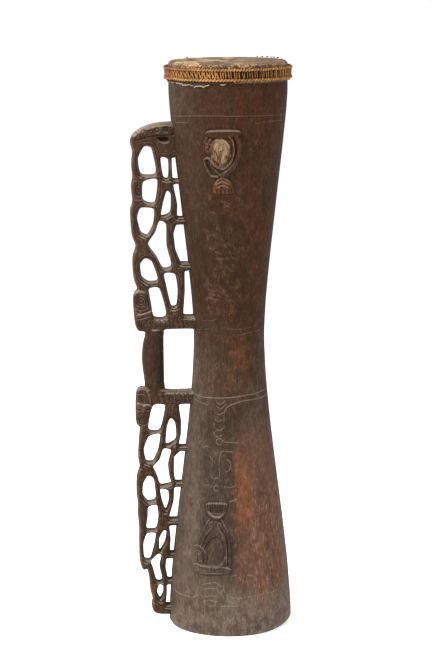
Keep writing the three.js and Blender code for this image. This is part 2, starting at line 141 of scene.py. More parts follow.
# Incised rings of the front, each by its middle in [degrees, mm up] and its radius in mm
INCISED_RINGS = [
    (-6.5, 700, 5.2), (-10, 617, 5.0), (-23, 549, 4.5), (-14, 316, 5.0), (-16, 241, 4.4),
]

# The handle is laid out in points of [percent of its depth out from the drum's side,
# thousandths of the height up]
HANDLE_EDGE = [
    (14, 894), (32, 891), (49, 885), (64, 874), (69, 861), (66, 845), (71, 822), (71, 801), (76, 784),
    (76, 756), (82, 744), (84, 712), (84, 695), (79, 680), (88, 660), (90, 622), (84, 602), (94, 594),
    (94, 531), (76, 528), (82, 506), (83, 480), (80, 458), (74, 427), (88, 428), (89, 414), (86, 374),
    (83, 362), (77, 358), (77, 335), (75, 301), (70, 286), (74, 270), (71, 239), (66, 218), (65, 201),
    (60, 176), (58, 151), (54, 114), (48, 97), (41, 101), (36, 84), (33, 60), (27, 41), (30, 36),
    (27, 20), (16, 16),
]
OPENINGS = [
    [(36, 852), (48, 853), (60, 832), (59, 804), (32, 804)],
    [(24, 835), (11, 831), (15, 797), (23, 799)],
    [(57, 793), (31, 798), (41, 753), (61, 759)],
    [(66, 747), (43, 745), (48, 718), (60, 698), (70, 704), (73, 729)],
    [(20, 776), (14, 770), (18, 737), (35, 731), (28, 755)],
    [(38, 724), (27, 718), (32, 679), (26, 643), (41, 639), (49, 662), (62, 683), (46, 703)],
    [(68, 658), (58, 653), (50, 618), (67, 617), (77, 626), (77, 648)],
    [(68, 605), (50, 607), (41, 553), (64, 553), (66, 584)],
    [(41, 632), (22, 630), (21, 600), (25, 573), (34, 572), (38, 605)],
    [(62, 398), (39, 398), (44, 349), (65, 351)],
    [(30, 374), (21, 363), (16, 333), (33, 323), (34, 357)],
    [(43, 346), (62, 342), (68, 318), (62, 296), (50, 295), (44, 316)],
    [(36, 319), (22, 315), (26, 288), (20, 262), (16, 255), (34, 251), (42, 273), (50, 285), (39, 299)],
    [(56, 270), (46, 264), (38, 226), (50, 222), (61, 235), (62, 256)],
    [(34, 246), (20, 242), (17, 222), (20, 205), (28, 224)],
    [(50, 213), (36, 217), (31, 194), (32, 171), (49, 172), (48, 195)],
    [(47, 165), (32, 165), (33, 143), (37, 116), (47, 118), (51, 145)],
    [(20, 170), (15, 166), (16, 146), (23, 130), (26, 154)],
    [(25, 127), (19, 122), (22, 103), (14, 76), (24, 76), (31, 100), (37, 113)],
    [(20, 71), (13, 67), (12, 54), (16, 43), (22, 55)],
]
OPENINGS_AT_DRUM = [
    [(6, 833), (9, 796)],
    [(9, 787), (6, 752), (9, 730)],
    [(12, 716), (18, 700), (18, 672), (12, 650)],
    [(7, 635), (10, 598), (16, 556)],
    [(49, 532), (48, 479), (44, 423)],
    [(19, 398), (12, 366), (10, 344), (12, 323)],
    [(9, 313), (17, 303), (14, 272), (10, 258)],
    [(11, 248), (9, 222), (14, 191)],
    [(12, 178), (7, 153), (6, 129)],
    [(11, 118), (11, 100), (6, 80)],
    [(7, 70), (6, 51), (7, 33)],
]
GRIP_SPAN = (423, 532)

# Carving of the handle in mm, as points of [out from the drum's axis, up]
CAP = [(155, 799), (152, 812), (142, 819), (131, 824), (113, 828), (92, 830), (82, 826), (86, 805),
    (110, 804),
       (131, 801), (147, 795)]
CAP_POCKET = [(117, 802), (95, 803), (96, 792), (110, 793)]
CROSSBARS = [(488, 513), (367, 393)]
HANDLE_RINGS = [
    (101, 814, 3.2, 3.2), (115, 813, 3.0, 3.0), (124, 810, 2.6, 2.6), (134, 806, 3.4, 3.4),
        (134, 806, 6.6, 6.4),
    (145, 717, 4.6, 8.6), (145, 717, 1.6, 3.6), (143, 538, 3.6, 3.4), (143, 538, 7.4, 7.6),
        (143, 537, 11.0, 12.6),
    (147, 501, 4.6, 5.0), (147, 501, 1.6, 1.8), (142, 347, 4.2, 4.2), (142, 347, 1.4, 1.4),
    (145, 268, 3.0, 6.0), (137, 158, 3.2, 7.0),
]
# Cuts and ridges of the handle: (line, width in mm, height in mm)
HANDLE_STROKES = [
    ([(88, 806), (104, 805), (120, 804), (134, 801), (150, 797)], 1.6, -2.4),
    ([(151, 812), (146, 806), (149, 799)], 1.0, -1.2),
    ([(88, 820), (100, 822), (115, 821), (128, 818), (140, 812)], 0.9, -0.9),
    ([(153, 734), (138, 733)], 1.0, -1.6),
    ([(153, 703), (137, 703)], 1.0, -1.6),
    ([(152, 522), (143, 519), (127, 524)], 1.2, -1.6),
    ([(152, 514), (142, 516), (127, 520)], 1.8, 1.6),
    ([(152, 509), (142, 511), (128, 515)], 1.1, -2.0),
    ([(146, 491), (139, 499), (131, 509)], 1.1, -1.4),
    ([(141, 490), (134, 498), (128, 504)], 1.0, -1.1),
    ([(131, 552), (132, 540), (130, 526)], 1.0, -1.3),
    ([(152, 391), (144, 394), (136, 391), (131, 383), (129, 372)], 1.6, 1.3),
    ([(151, 386), (144, 388), (137, 385), (134, 378), (133, 370)], 1.0, -1.4),
    ([(152, 369), (147, 370), (142, 366)], 1.7, 1.6),
    ([(139, 366), (134, 368), (128, 365)], 1.7, 1.6),
    ([(152, 374), (140, 371), (129, 371)], 0.9, -1.2),
    ([(140, 367), (141, 357)], 2.2, 2.0),
    ([(137, 356), (141, 354), (145, 356)], 1.0, -1.2),
    ([(151, 361), (148, 359), (146, 361)], 1.7, -2.0),
    ([(136, 361), (133, 360), (130, 362)], 1.7, -2.0),
    ([(152, 353), (149, 345), (145, 338), (138, 337), (133, 343), (131, 352)], 1.1, -1.3),
    ([(150, 336), (139, 334), (132, 337)], 1.5, 1.1),
    ([(120, 387), (100, 388), (80, 388), (64, 388)], 0.9, -1.0),
    ([(120, 371), (100, 370), (80, 370), (66, 370)], 0.9, -1.0),
    ([(124, 508), (100, 509), (80, 509), (64, 509)], 0.9, -1.0),
    ([(124, 493), (100, 492), (80, 492), (66, 492)], 0.9, -1.0),
]
# The repeated hooks of the two crossbars: (places out from the axis, heights, sideways reach)
CROSSBAR_HOOKS = [
    ((119, 112, 104, 97, 90, 82, 75, 68), (506, 503, 499, 495), 3.0),
    ((88, 81, 74, 67), (386, 382, 377, 372), 2.4),
    ((115, 107, 99), (382, 380, 376, 373), 2.6),
]
HEAD_BLOCKS = [
    [(93, 604), (73, 604), (65, 585), (63, 529), (92, 528), (95, 540), (95, 595)],
    [(89, 429), (74, 429), (62, 412), (60, 396), (64, 366), (80, 359), (87, 366), (91, 392)],
]


class LogSizes(bpy.types.PropertyGroup):
    line_depth: FloatProperty(name="Line depth", description="Depth of the incised lines",
                              default=0.0008, unit="LENGTH")
    line_width: FloatProperty(name="Line width", description="Width of the incised lines",
                              default=0.0014, unit="LENGTH")
    upper_relief: FloatProperty(name="Upper relief", description="How far the upper figure stands proud",
                                default=0.006, unit="LENGTH")
    lower_relief: FloatProperty(name="Lower relief", description="How far the lower figure stands proud",
                                default=0.0045, unit="LENGTH")
    columns: IntProperty(name="Columns", description="Faces round the log before they are divided",
        default=116)
    row: FloatProperty(name="Row", description="Height of a face of the log before it is divided",
                       default=0.0062, unit="LENGTH")


class HandleSizes(bpy.types.PropertyGroup):
    thickness: FloatProperty(name="Thickness", description="Thickness of the handle at the drum",
                             default=0.036, unit="LENGTH")
    edge_thickness: FloatProperty(name="Edge thickness", description="Thickness of the handle at its outer edge",
                                  default=0.027, unit="LENGTH")
    rounding: FloatProperty(name="Rounding", description="How far the edges of the strands are rounded",
                            default=0.0045, unit="LENGTH")
    cell: FloatProperty(name="Cell", description="Size of the faces of the handle",
        default=0.00125, unit="LENGTH")


class HeadSizes(bpy.types.PropertyGroup):
    skin_fold: FloatProperty(name="Skin edge", description="Thickness of the ragged skin edge",
                             default=0.0013, unit="LENGTH")
    strands: IntProperty(name="Strands", description="Upright strands of the cane ring", default=150)
    cane: FloatProperty(name="Cane", description="Thickness of one strand of cane", default=0.0028,
        unit="LENGTH")


class WoodColours(bpy.types.PropertyGroup):
    dark: FloatVectorProperty(name="Dark wood", description="Colour of the upper log", subtype="COLOR",
                              size=3, default=(0.043, 0.0205, 0.0095))
    grey: FloatVectorProperty(name="Grey wood", description="Colour of the dusty lower log", subtype="COLOR",
                              size=3, default=(0.108, 0.078, 0.057))
    red: FloatVectorProperty(name="Red wood", description="Colour of the worn red streaks", subtype="COLOR",
                             size=3, default=(0.225, 0.070, 0.024))
    dust: FloatVectorProperty(name="Dust", description="Colour of the dust on edges and lines",
        subtype="COLOR",
                              size=3, default=(0.30, 0.235, 0.175))


# Outlines and distances
def drum_profile():
    """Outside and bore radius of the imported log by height, in mm, read along a line free of carving."""
    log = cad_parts["drum_body"]
    tree = BVHTree.FromPolygons([v.co for v in log.data.vertices],
                                [tuple(p.vertices) for p in log.data.polygons])
    direction = Vector((math.cos(math.radians(-45)), math.sin(math.radians(-45)), 0))
    heights = np.arange(12.0, 882.0, 10.0)
    outside = []
    bore = []
    for height in heights:
        middle = Vector((AXIS.x, AXIS.y, height * MM))
        hit = tree.ray_cast(middle + direction * 0.3, -direction)[0]
        outside.append((hit - middle).length / MM)
        hit = tree.ray_cast(middle, direction)[0]
        bore.append((hit - middle).length / MM)
    return heights, eased(np.array(outside)), eased(np.array(bore))


def eased(values):
    """Takes the small breaks out of a profile without moving its ends."""
    for _ in range(3):
        inner = values[1:-1] * 0.5 + (values[:-2] + values[2:]) * 0.25
        values = np.concatenate([values[:1], inner, values[-1:]])
    return values


PROFILE_HEIGHTS, OUTSIDE_RADII, BORE_RADII = drum_profile()


def drum_radius(height):
    return np.interp(height, PROFILE_HEIGHTS, OUTSIDE_RADII)


def bore_radius(height):
    return np.interp(height, PROFILE_HEIGHTS, BORE_RADII)


def place_round(angle, radius, height):
    """The place in mm at an angle from the front, a distance from the drum's axis and a height."""
    return Vector((AXIS.x / MM + radius * math.sin(angle), AXIS.y / MM - radius * math.cos(angle), height))


def handle_point(point):
    height = point[1] / 1000 * DRUM_HEIGHT
    return (float(drum_radius(height)) + point[0] / 100 * HANDLE_DEPTH, height)


def rounded_loop(points, passes=2, share=0.25):
    """A closed outline with its corners cut off, and the cuts cut again until they are round."""
    points = np.array(points, float)
    for _ in range(passes):
        after = np.roll(points, -1, axis=0)
        first = points * (1 - share) + after * share
        second = points * share + after * (1 - share)
        points = np.stack([first, second], axis=1).reshape(-1, 2)
        share = 0.25
    return points


def curved(points, steps=5):
    """A smooth open line through its points."""
    points = np.array(points, float)
    padded = np.vstack([2 * points[0] - points[1], points, 2 * points[-1] - points[-2]])
    line = []
    for index in range(1, len(padded) - 2):
        before, here, after, last = padded[index - 1:index + 3]
        for step in range(steps):
            t = step / steps
            line.append(0.5 * (2 * here + (after - before) * t
                               + (2 * before - 5 * here + 4 * after - last) * t * t
                               + (3 * here - before - 3 * after + last) * t ** 3))
    line.append(points[-1])
    return np.array(line)


def closed(points):
    return np.vstack([points, points[:1]])


def line_distance(where, line):
    """Distance of every point from a line of straight pieces."""
    best = np.full(len(where), 1e9)
    for start, end in zip(line[:-1], line[1:]):
        along = end - start
        length = max(float(along @ along), 1e-9)
        share = np.clip(((where - start) @ along) / length, 0, 1)
        gap = where - start - share[:, None] * along
        best = np.minimum(best, np.einsum("ij,ij->i", gap, gap))
    return np.sqrt(best)


def near_distance(where, line, reach):
    """Distance from a line, worked out only for the points within reach of it."""
    low = line.min(0) - reach
    high = line.max(0) + reach
    chosen = np.all((where >= low) & (where <= high), axis=1)
    result = np.full(len(where), reach * 4.0)
    if chosen.any():
        result[chosen] = line_distance(where[chosen], line)
    return result


def inside(where, loop):
    """Whether each point lies within a closed outline."""
    result = np.zeros(len(where), bool)
    x, y = where[:, 0], where[:, 1]
    for start, end in zip(loop, np.roll(loop, -1, axis=0)):
        crosses = (start[1] > y) != (end[1] > y)
        if end[1] != start[1]:
            at = (end[0] - start[0]) * (y - start[1]) / (end[1] - start[1]) + start[0]
            result ^= crosses & (x < at)
    return result


def within(where, loop, reach):
    """Signed distance inside a closed outline, positive within it."""
    gap = near_distance(where, closed(loop), reach)
    return np.where(inside(where, loop), gap, -gap)


def step_up(values, low, high):
    share = np.clip((values - low) / (high - low), 0, 1)
    return share * share * (3 - 2 * share)


def dome(distance, width):
    """A round ridge or groove: full in its middle and nothing at its width."""
    share = np.clip(1 - distance / width, 0, 1)
    return np.sqrt(share * (2 - share))


# Carving on the log's front
def front_point(point):
    """A relief point of [thousandths across, thousandths up] as [mm round, mm up] on the log's side."""
    across = point[0] * DRUM_HEIGHT / 1000
    height = point[1] * DRUM_HEIGHT / 1000
    radius = float(drum_radius(height))
    return (radius * math.asin(across / radius), height)


def turned_point(point):
    """An incised point of [degrees, mm up] as [mm round, mm up]."""
    return (math.radians(point[0]) * float(drum_radius(point[1])), point[1])


def front_line(points, steps=5):
    return curved([front_point(p) for p in points], steps)


def front_loop(points):
    return rounded_loop([front_point(p) for p in points], 2, 0.2)


# A small incised form is narrower than this, in mm
# The heights between which the curls and the worn forms lie
SMALL_FORM = 45
CURL_HEIGHTS = (525, 730)
WORN_HEIGHTS = (225, 410)
WORN_STRENGTH = 0.7
# The second, lighter cut of each curl and how far it is shifted from the first
SECOND_CUT_SHIFT = (-2.7, 1.9)
SECOND_CUT_STRENGTH = 0.6


def is_small_form(line, heights):
    return np.ptp(line[:, 0]) < SMALL_FORM and heights[0] < line[:, 1].mean() < heights[1]


def incised_lines():
    """Every incised line with its strength: small forms below the waist are worn, the curls are cut twice."""
    turn = np.linspace(0, 2 * math.pi, 17)
    lines = [curved([turned_point(p) for p in points]) for points in INCISED]
    for degrees, height, radius in INCISED_RINGS:
        circle = np.stack([np.cos(turn), np.sin(turn)], axis=1)
        lines.append(turned_point((degrees, height)) + radius * circle)
    cut = [(line, WORN_STRENGTH if is_small_form(line, WORN_HEIGHTS) else 1.0) for line in lines]
    curls = [line for line in lines if is_small_form(line, CURL_HEIGHTS)]
    return cut + [(line + SECOND_CUT_SHIFT, SECOND_CUT_STRENGTH) for line in curls]


# Raised forms of the two figures: (outline, share of the relief's height, edge width in mm, finish)
UPPER_PLATES = [
    ([(-39, 887), (21, 888), (21, 875), (-38, 874)], 1.0, 2.0, "plain"),
    ([(-16, 813), (-5, 813), (-6, 803), (-15, 803)], 0.6, 3.0, "plain"),
    ([(-39, 873), (-39, 846), (-27, 843), (-25, 873)], 0.5, 3.0, "orange"),
    ([(-28, 777), (-26, 793), (-18, 804), (-11, 807), (-4, 805), (6, 795), (11, 777)], 0.62, 2.5, "orange"),
    ([(-30, 836), (-31, 858), (-24, 872), (-9, 874), (2, 862), (6, 846), (2, 831), (-9, 822), (-22, 824)],
     0.9, 12.0, "cream"),
]
LOWER_PLATES = [
    ([(-43, 236), (-2, 238), (-7, 221), (-14, 209), (-19, 205), (-30, 205), (-37, 210),
        (-42, 222)], 0.75, 2.5,
     "plain"),
    ([(-36, 204), (-17, 204), (-5, 181), (-1, 151), (-2, 124), (-60, 122), (-58, 152), (-50, 180)], 0.5, 2.0,
     "shaded"),
    ([(-27, 178), (-40, 166), (-47, 148), (-48, 125), (-16, 125), (-10, 140), (-10, 163),
        (-18, 177)], -0.35, 2.2,
     "sunk"),
    ([(-61, 126), (-1, 127), (4, 113), (-61, 108)], 1.0, 2.0, "plain"),
    ([(-55, 156), (-47, 152), (-42, 143), (-47, 133), (-55, 128)], 0.7, 2.5, "plain"),
]

# Ridges and grooves of the two figures: (line, width in mm, height as a share of the relief, paleness, the
# strength of the painted highlight along it)
UPPER_STROKES = [
    ([(13, 877), (18, 862), (15, 838), (5, 821), (-7, 811)], 4.6, 0.95, 0.12),
    ([(-40, 836), (-38, 826), (-34, 817), (-28, 808), (-17, 807)], 2.0, 0.85, 0.8),
    ([(-30, 828), (-24, 819), (-17, 812), (-13, 809)], 1.7, 0.75, 0.55),
    ([(11, 825), (2, 814), (-5, 808)], 1.3, 1.0, 0.5),
    ([(1, 876), (7, 868), (9, 852), (6, 837), (0, 826), (-9, 820), (-19, 823), (-27, 831), (-32, 838),
        (-38, 838)],
     2.1, 0.9, 0.9),
    ([(-36, 872), (-38, 865), (-33, 860), (-37, 854), (-33, 848)], 2.4, 0.85, 0.45),
    ([(-29, 871), (-32, 865), (-28, 859), (-31, 853)], 2.0, 0.85, 0.4),
    # A shallow groove under the bar, painted dark as the bar's shadow
    ([(-34, 872), (-16, 873), (3, 871)], 1.7, -0.3, 0.0),
    ([(-20, 793), (-10, 798), (1, 793)], 1.3, 0.3, 0.45),
    ([(-23, 789), (-15, 793), (-8, 794), (1, 790), (5, 785)], 1.1, -0.2, 0.0),
    ([(-17, 788), (-9, 791), (-1, 788)], 1.1, 0.25, 0.4),
    ([(-14, 868), (-5, 864), (1, 852), (1, 840), (-4, 832)], 1.2, -0.12, 0.0),
    ([(-17, 862), (-9, 860), (-5, 850), (-7, 838), (-13, 832)], 1.1, -0.1, 0.0),
    ([(-24, 862), (-20, 867), (-14, 864), (-15, 856), (-21, 853), (-26, 846)], 1.2, -0.14, 0.0),
    ([(-24, 840), (-18, 833), (-9, 830)], 1.2, 0.2, 0.7),
]
UPPER_TEETH = [-20, -13, -6, 1, 6]
LOWER_STROKES = [
    ([(-36, 205), (-46, 187), (-54, 164), (-58, 140), (-59, 127)], 2.0, 0.8, 0.6),
    ([(-29, 204), (-33, 191), (-44, 174), (-51, 152)], 1.8, 0.75, 0.3),
    ([(-32, 186), (-43, 170), (-48, 158)], 1.2, -0.3, 0.0),
    ([(-15, 206), (-5, 184), (-1, 160), (0, 140), (-1, 126)], 2.0, 0.8, 0.4),
    ([(-23, 205), (-19, 190), (-10, 172), (-6, 150), (-7, 134)], 1.7, 0.75, 0.7),
    ([(-14, 190), (-6, 172), (-4, 150), (-4, 130)], 1.1, -0.3, 0.0),
    ([(-60, 126), (-40, 123), (-22, 124), (-13, 131), (-9, 141)], 2.2, 1.0, 1.0),
    ([(-37, 219), (-30, 213), (-23, 211), (-15, 213), (-8, 220)], 1.7, 0.3, 1.0),
    ([(-36, 213), (-29, 207), (-22, 206), (-14, 209)], 1.3, -0.3, 0.0),
    ([(-61, 157), (-53, 158), (-46, 153), (-42, 144), (-42, 133)], 1.5, 0.85, 0.5),
    ([(-58, 151), (-52, 151), (-48, 146), (-47, 137)], 1.2, -0.3, 0.0),
    ([(-57, 145), (-53, 144), (-51, 138)], 1.2, 0.25, 0.5),
    ([(-58, 113), (-30, 115), (0, 117)], 1.3, -0.22, 0.0),
]
LOWER_TEETH = [-39, -34.5, -30, -25.5, -21, -16.5, -12, -7]


class Carving:
    """The carved height of the log at many points, in mm, and the marks its material reads."""

    # The marks: pale is painted highlight on raised edges and ridges; dark is painted shade in cuts, hollows and
    # at the foot of raised parts, and also darkens the lower figure's arch band
    NAMES = ("pale", "dark", "line", "orange", "cream")

    def __init__(self, count):
        self.rise = np.zeros(count)
        for name in self.NAMES:
            setattr(self, name, np.zeros(count))

    def add(self, name, values):
        setattr(self, name, np.maximum(getattr(self, name), values))


def add_figure(where, plates, strokes, teeth, height, carving):
    """Adds one figure in relief to the log's carving."""
    body = np.zeros(len(where))
    for outline, share, edge, finish in plates:
        depth = within(where, front_loop(outline), 14)
        if finish == "sunk":
            carving.dark *= 1 - step_up(depth, 0, 2.0)
            body = body * (1 - step_up(depth, -0.6, edge)) + share * height * step_up(depth, 0, edge)
            # Painted shadow just inside the rim of the hollow
            carving.add("dark", 0.85 * np.clip(1 - np.abs(depth - 0.8) / 2.4, 0, 1))
            continue
        body = np.maximum(body, share * height * step_up(depth, -0.4, edge))
        if finish == "shaded":
            carving.add("dark", 0.20 * step_up(depth, 0, 1.5))
        elif finish != "plain":
            carving.add(finish, step_up(depth, -0.5, 1.2))
        # Painted highlight just inside the edge of each raised form
        carving.add("pale", 0.35 * np.clip(1 - np.abs(depth - 0.9) / 1.0, 0, 1))
        # Painted shadow just outside the edge of each raised form
        outlined = 0.7 if finish in ("plain", "shaded") else 0.4
        carving.add("dark", outlined * np.clip(1 - np.abs(depth + 1.0) / 1.6, 0, 1))
    detail = np.zeros(len(where))
    for points, width, share, paleness in strokes:
        gap = near_distance(where, front_line(points), 12)
        ridge = dome(gap, width)
        if share > 0.4:
            body = np.maximum(body, share * height * ridge)
            # Painted shadow at the foot of a raised ridge
            carving.add("dark", 0.5 * np.clip(1 - np.abs(gap - width - 0.5) / 1.0, 0, 1))
        else:
            detail += share * height * ridge
            # Painted shade in the grooves
            if share < 0:
                carving.add("dark", ridge * min(0.7, -2.4 * share))
        # Painted highlight along each ridge and groove, as strong as its paleness
        carving.add("pale", paleness * np.clip(1 - gap / (0.7 * width), 0, 1))
    for line in teeth:
        ridge = dome(near_distance(where, line, 8), 1.0)
        detail -= 0.3 * height * ridge
        # Painted shade in the teeth
        carving.add("dark", ridge * 0.55)
    carving.rise += body + np.where(body > 0.2, detail, 0)


def tooth_lines():
    upper = [front_line([(x, 777), (x * 0.9 - 1, 785)], 2) for x in UPPER_TEETH]
    lower = [front_line([(x, 237), (x * 0.86 - 3.2, 219)], 2) for x in LOWER_TEETH]
    return upper, lower


def log_carving(where, sizes):
    """The log's carving at points of [mm round, mm up] on its side."""
    carving = Carving(len(where))
    upper_teeth, lower_teeth = tooth_lines()
    add_figure(where, UPPER_PLATES, UPPER_STROKES, upper_teeth, sizes.upper_relief / MM * 0.97, carving)
    add_figure(where, LOWER_PLATES, LOWER_STROKES, lower_teeth, sizes.lower_relief / MM * 0.97, carving)
    half = sizes.line_width / MM / 2
    depth = sizes.line_depth / MM
    front = math.radians(36) * drum_radius(where[:, 1])
    for points, strength in incised_lines():
        gap = near_distance(where, points, 16)
        carving.rise -= depth * strength * dome(gap, half * 1.1)
        carving.add("line", strength * step_up(half * 1.4 - gap, 0, half * 1.2))
        # Painted shadow just below each incised line
        below = near_distance(where + (-0.5, 1.3), points, 6)
        carving.add("dark", 0.5 * strength * step_up(half * 1.2 - below, 0, half))
        if is_small_form(points, CURL_HEIGHTS):
            carving.add("orange", 0.22 * np.clip(1 - gap / 10, 0, 1) * (np.abs(where[:, 0]) < front))
    return carving


def carving_gap(where):
    """Distance from the nearest carved line or figure, which says where the log needs fine faces."""
    gap = np.full(len(where), 1e3)
    for points, _ in incised_lines():
        gap = np.minimum(gap, near_distance(where, points, 12))
    for plates, strokes in ((UPPER_PLATES, UPPER_STROKES), (LOWER_PLATES, LOWER_STROKES)):
        for outline, _, _, _ in plates:
            gap = np.minimum(gap, near_distance(where, closed(front_loop(outline)), 12))
        for points, width, _, _ in strokes:
            gap = np.minimum(gap, np.maximum(near_distance(where, front_line(points), 12) - width, 0))
    for lines in tooth_lines():
        for points in lines:
            gap = np.minimum(gap, near_distance(where, points, 12))
    return gap


# The carved log
# The net round the log is halved near the carving: size of a cell, how near the carving has to be in mm
DIVISIONS = 3
SPLIT_REACH = {8: 6.2, 4: 3.4, 2: 1.7}
# The worn right-hand edge of the foot in mm: how far it is lifted and how high up the wear reaches
FOOT_LIFT = 6.0
FOOT_WEAR_HEIGHT = 26
BORE_LOOPS = 44


def smooth(mesh):
    for polygon in mesh.polygons:
        polygon.use_smooth = True


def new_piece(name, vertices, faces, material):
    mesh = bpy.data.meshes.new(name)
    mesh.from_pydata([tuple(v) for v in vertices], [], faces)
    mesh.validate()
    mesh.update()
    piece = bpy.data.objects.new(name, mesh)
    bpy.context.scene.collection.objects.link(piece)
    mesh.materials.append(material)
    smooth(mesh)
    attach(piece, "root")
    return piece


def mark(piece, name, values):
    attribute = piece.data.attributes.new(name, "FLOAT", "POINT")
    attribute.data.foreach_set("value", np.asarray(values, np.float32))


def log_cells(columns, rows, row_height):
    """Leaves of the divided net round the log, as (column, row, size) on its finest lattice."""
    size = scale = 2 ** DIVISIONS
    column, row = np.meshgrid(np.arange(columns), np.arange(rows), indexing="ij")
    cells = np.stack([column.ravel() * scale, row.ravel() * scale], axis=1)
    leaves = []
    while size > 1:
        middle = cells + size / 2
        height = middle[:, 1] / scale * row_height
        around = (middle[:, 0] / scale / columns * 2 * math.pi - math.pi) * drum_radius(height)
        split = carving_gap(np.stack([around, height], axis=1)) < SPLIT_REACH[size]
        leaves += [(c, r, size) for c, r in cells[~split]]
        size //= 2
        cells = np.concatenate([cells[split] + (a, b) for a in (0, size) for b in (0, size)])
    return leaves + [(c, r, 1) for c, r in cells]


def log_net(columns, rows, row_height):
    """Lattice corners and faces of the divided net, the seams between coarse and fine faces closed."""
    leaves = log_cells(columns, rows, row_height)
    around = columns * 2 ** DIVISIONS
    index = {}
    for c, r, size in leaves:
        for dc, dr in ((0, 0), (size, 0), (size, size), (0, size)):
            index.setdefault(((c + dc) % around, r + dr), len(index))
    corners = list(index)
    faces = []
    for c, r, size in leaves:
        ring = []
        for start, way in (((0, 0), (1, 0)), ((size, 0), (0, 1)), ((size, size), (-1, 0)), ((0, size),
            (0, -1))):
            for step in range(size):
                key = ((c + start[0] + way[0] * step) % around, r + start[1] + way[1] * step)
                if key in index:
                    ring.append(index[key])
        if len(ring) == 4:
            faces.append(ring)
        else:
            faces += [(here, after, len(corners)) for here, after in zip(ring, ring[1:] + ring[:1])]
            corners.append((c + size / 2, r + size / 2))
    return np.array(corners, float), faces, index


def foot_wear(angle, height):
    """How far the worn right-hand edge of the foot is lifted, in mm."""
    return FOOT_LIFT * np.clip(np.sin(angle), 0, 1) ** 3 * np.clip(1 - height / FOOT_WEAR_HEIGHT, 0, 1)


def tool_marks(angle, height):
    """A soft unevenness all over the outside, in mm."""
    return 0.6 * np.array([
        noise.noise(Vector((math.sin(a) * 2.2, math.cos(a) * 2.2, h * 0.006))) * 0.5
        + noise.noise(Vector((math.sin(a) * 7, math.cos(a) * 7, h * 0.012 + 30))) * 0.22
        for a, h in zip(angle, height)
    ])


def rim_profile(top):
    """The rim at the head from the outside inwards, as (radius, height)."""
    head_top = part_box("drum_body")[1].z / MM
    rim = drum_radius(top) - 2.8
    bore = bore_radius(top)
    return [(rim, top + 0.1), (rim, head_top - 6), (rim - 2, head_top - 2), (rim - 6, head_top),
            (bore + 2, head_top), (bore + 0.3, head_top - 2)]


def bore_wobble(angle, height):
    return 0.8 * noise.noise(Vector((math.sin(angle) * 3, math.cos(angle) * 3, height * 0.02 + 60)))


def band_faces(above, below, swapped=False):
    """The faces between two closed rings of vertices, wound one way or the other."""
    corners = zip(above, above[1:] + above[:1], below[1:] + below[:1], below)
    return [(a, d, c, b) if swapped else (a, b, c, d) for a, b, c, d in corners]


def make_log(sizes, material):
    columns = sizes.columns
    scale = 2 ** DIVISIONS
    top = RING_LOW.z / MM + 0.6
    rows = round(top / (sizes.row / MM))
    row_height = top / rows
    corners, faces, index = log_net(columns, rows, row_height)
    angle = corners[:, 0] / scale / columns * 2 * math.pi - math.pi
    height = corners[:, 1] / scale * row_height
    radius = drum_radius(height)
    carving = log_carving(np.stack([angle * radius, height], axis=1), sizes)
    foot_round = np.clip(1 - height / 5, 0, 1) ** 2 * 3.2
    radius = radius - 0.3 + carving.rise + tool_marks(angle, height) - foot_round
    lifted = height + foot_wear(angle, height)
    vertices = [place_round(*point) for point in zip(angle, radius, lifted)]
    count = len(vertices)

    # the rim, the bore and the ground face of the foot, on the coarse columns
    turn = [c / columns * 2 * math.pi - math.pi for c in range(columns)]
    rings = [[place_round(a, r, h) for a in turn] for r, h in rim_profile(top)]
    for h in np.linspace(top, 0, BORE_LOOPS):
        r = bore_radius(h) + 0.4
        rings.append([place_round(a, r + bore_wobble(a, h), h + foot_wear(a, h)) for a in turn])
    above = [index[(c * scale, rows * scale)] for c in range(columns)]
    for ring in rings:
        below = list(range(len(vertices), len(vertices) + columns))
        vertices += ring
        faces += band_faces(above, below)
        above = below
    faces += band_faces(above, [index[(c * scale, 0)] for c in range(columns)])
    piece = new_piece("carved_log", [v * MM for v in vertices], faces, material)
    inner = np.zeros(len(vertices) - count)
    for name in Carving.NAMES:
        mark(piece, name, np.concatenate([getattr(carving, name), inner]))
    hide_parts("drum_body")


# The openwork handle
# How far each part of the handle stands out from its faces or is cut into them, in mm
CAP_RISE = 2.4
POCKET_DEPTH = 7.0
HEAD_BLOCK_HALF = 17.2
GRIP_SWELL = 2.6
GRIP_ROUNDING = 16.0
# The scored lines that run round the openings: (distance from the opening, depth) in mm
SCORES = ((3.9, 1.7), (8.2, 1.2))
# The walls of the openings are this many faces deep and bulge this far, in mm
WALL_ROWS = 6
WALL_SWELL = 0.9


def spread(loop, distance):
    """An outline that runs anticlockwise, moved outwards by a distance."""
    before = loop - np.roll(loop, 1, axis=0)
    after = np.roll(loop, -1, axis=0) - loop
    way = before / np.linalg.norm(before, axis=1)[:, None] + after / np.linalg.norm(after, axis=1)[:, None]
    way /= np.linalg.norm(way, axis=1)[:, None]
    turn = np.sign(np.sum(loop[:, 0] * np.roll(loop[:, 1], -1) - loop[:, 1] * np.roll(loop[:, 0], -1)))
    return loop + np.stack([way[:, 1], -way[:, 0]], axis=1) * distance * turn


def handle_loops():
    lowest, highest = HANDLE_EDGE[-1][1], HANDLE_EDGE[0][1]
    root = [(-13.0, lowest + (highest - lowest) * step / 12) for step in range(13)]
    root = [(float(drum_radius(h / 1000 * DRUM_HEIGHT)) + r, h / 1000 * DRUM_HEIGHT) for r, h in root]
    edge = rounded_loop([handle_point(p) for p in HANDLE_EDGE] + root, 2, 0.2)
    loops = [spread(rounded_loop([handle_point(p) for p in points], 3, 0.15), 1.1) for points in OPENINGS]
    for points in OPENINGS_AT_DRUM:
        outer = [handle_point(p) for p in points]
        top, bottom = outer[0][1], outer[-1][1]
        inner = [(float(drum_radius(h)) - 7, h) for h in (bottom, (top + bottom) / 2, top)]
        loops.append(spread(rounded_loop(outer + inner, 2, 0.08), 0.5))
    return edge, loops


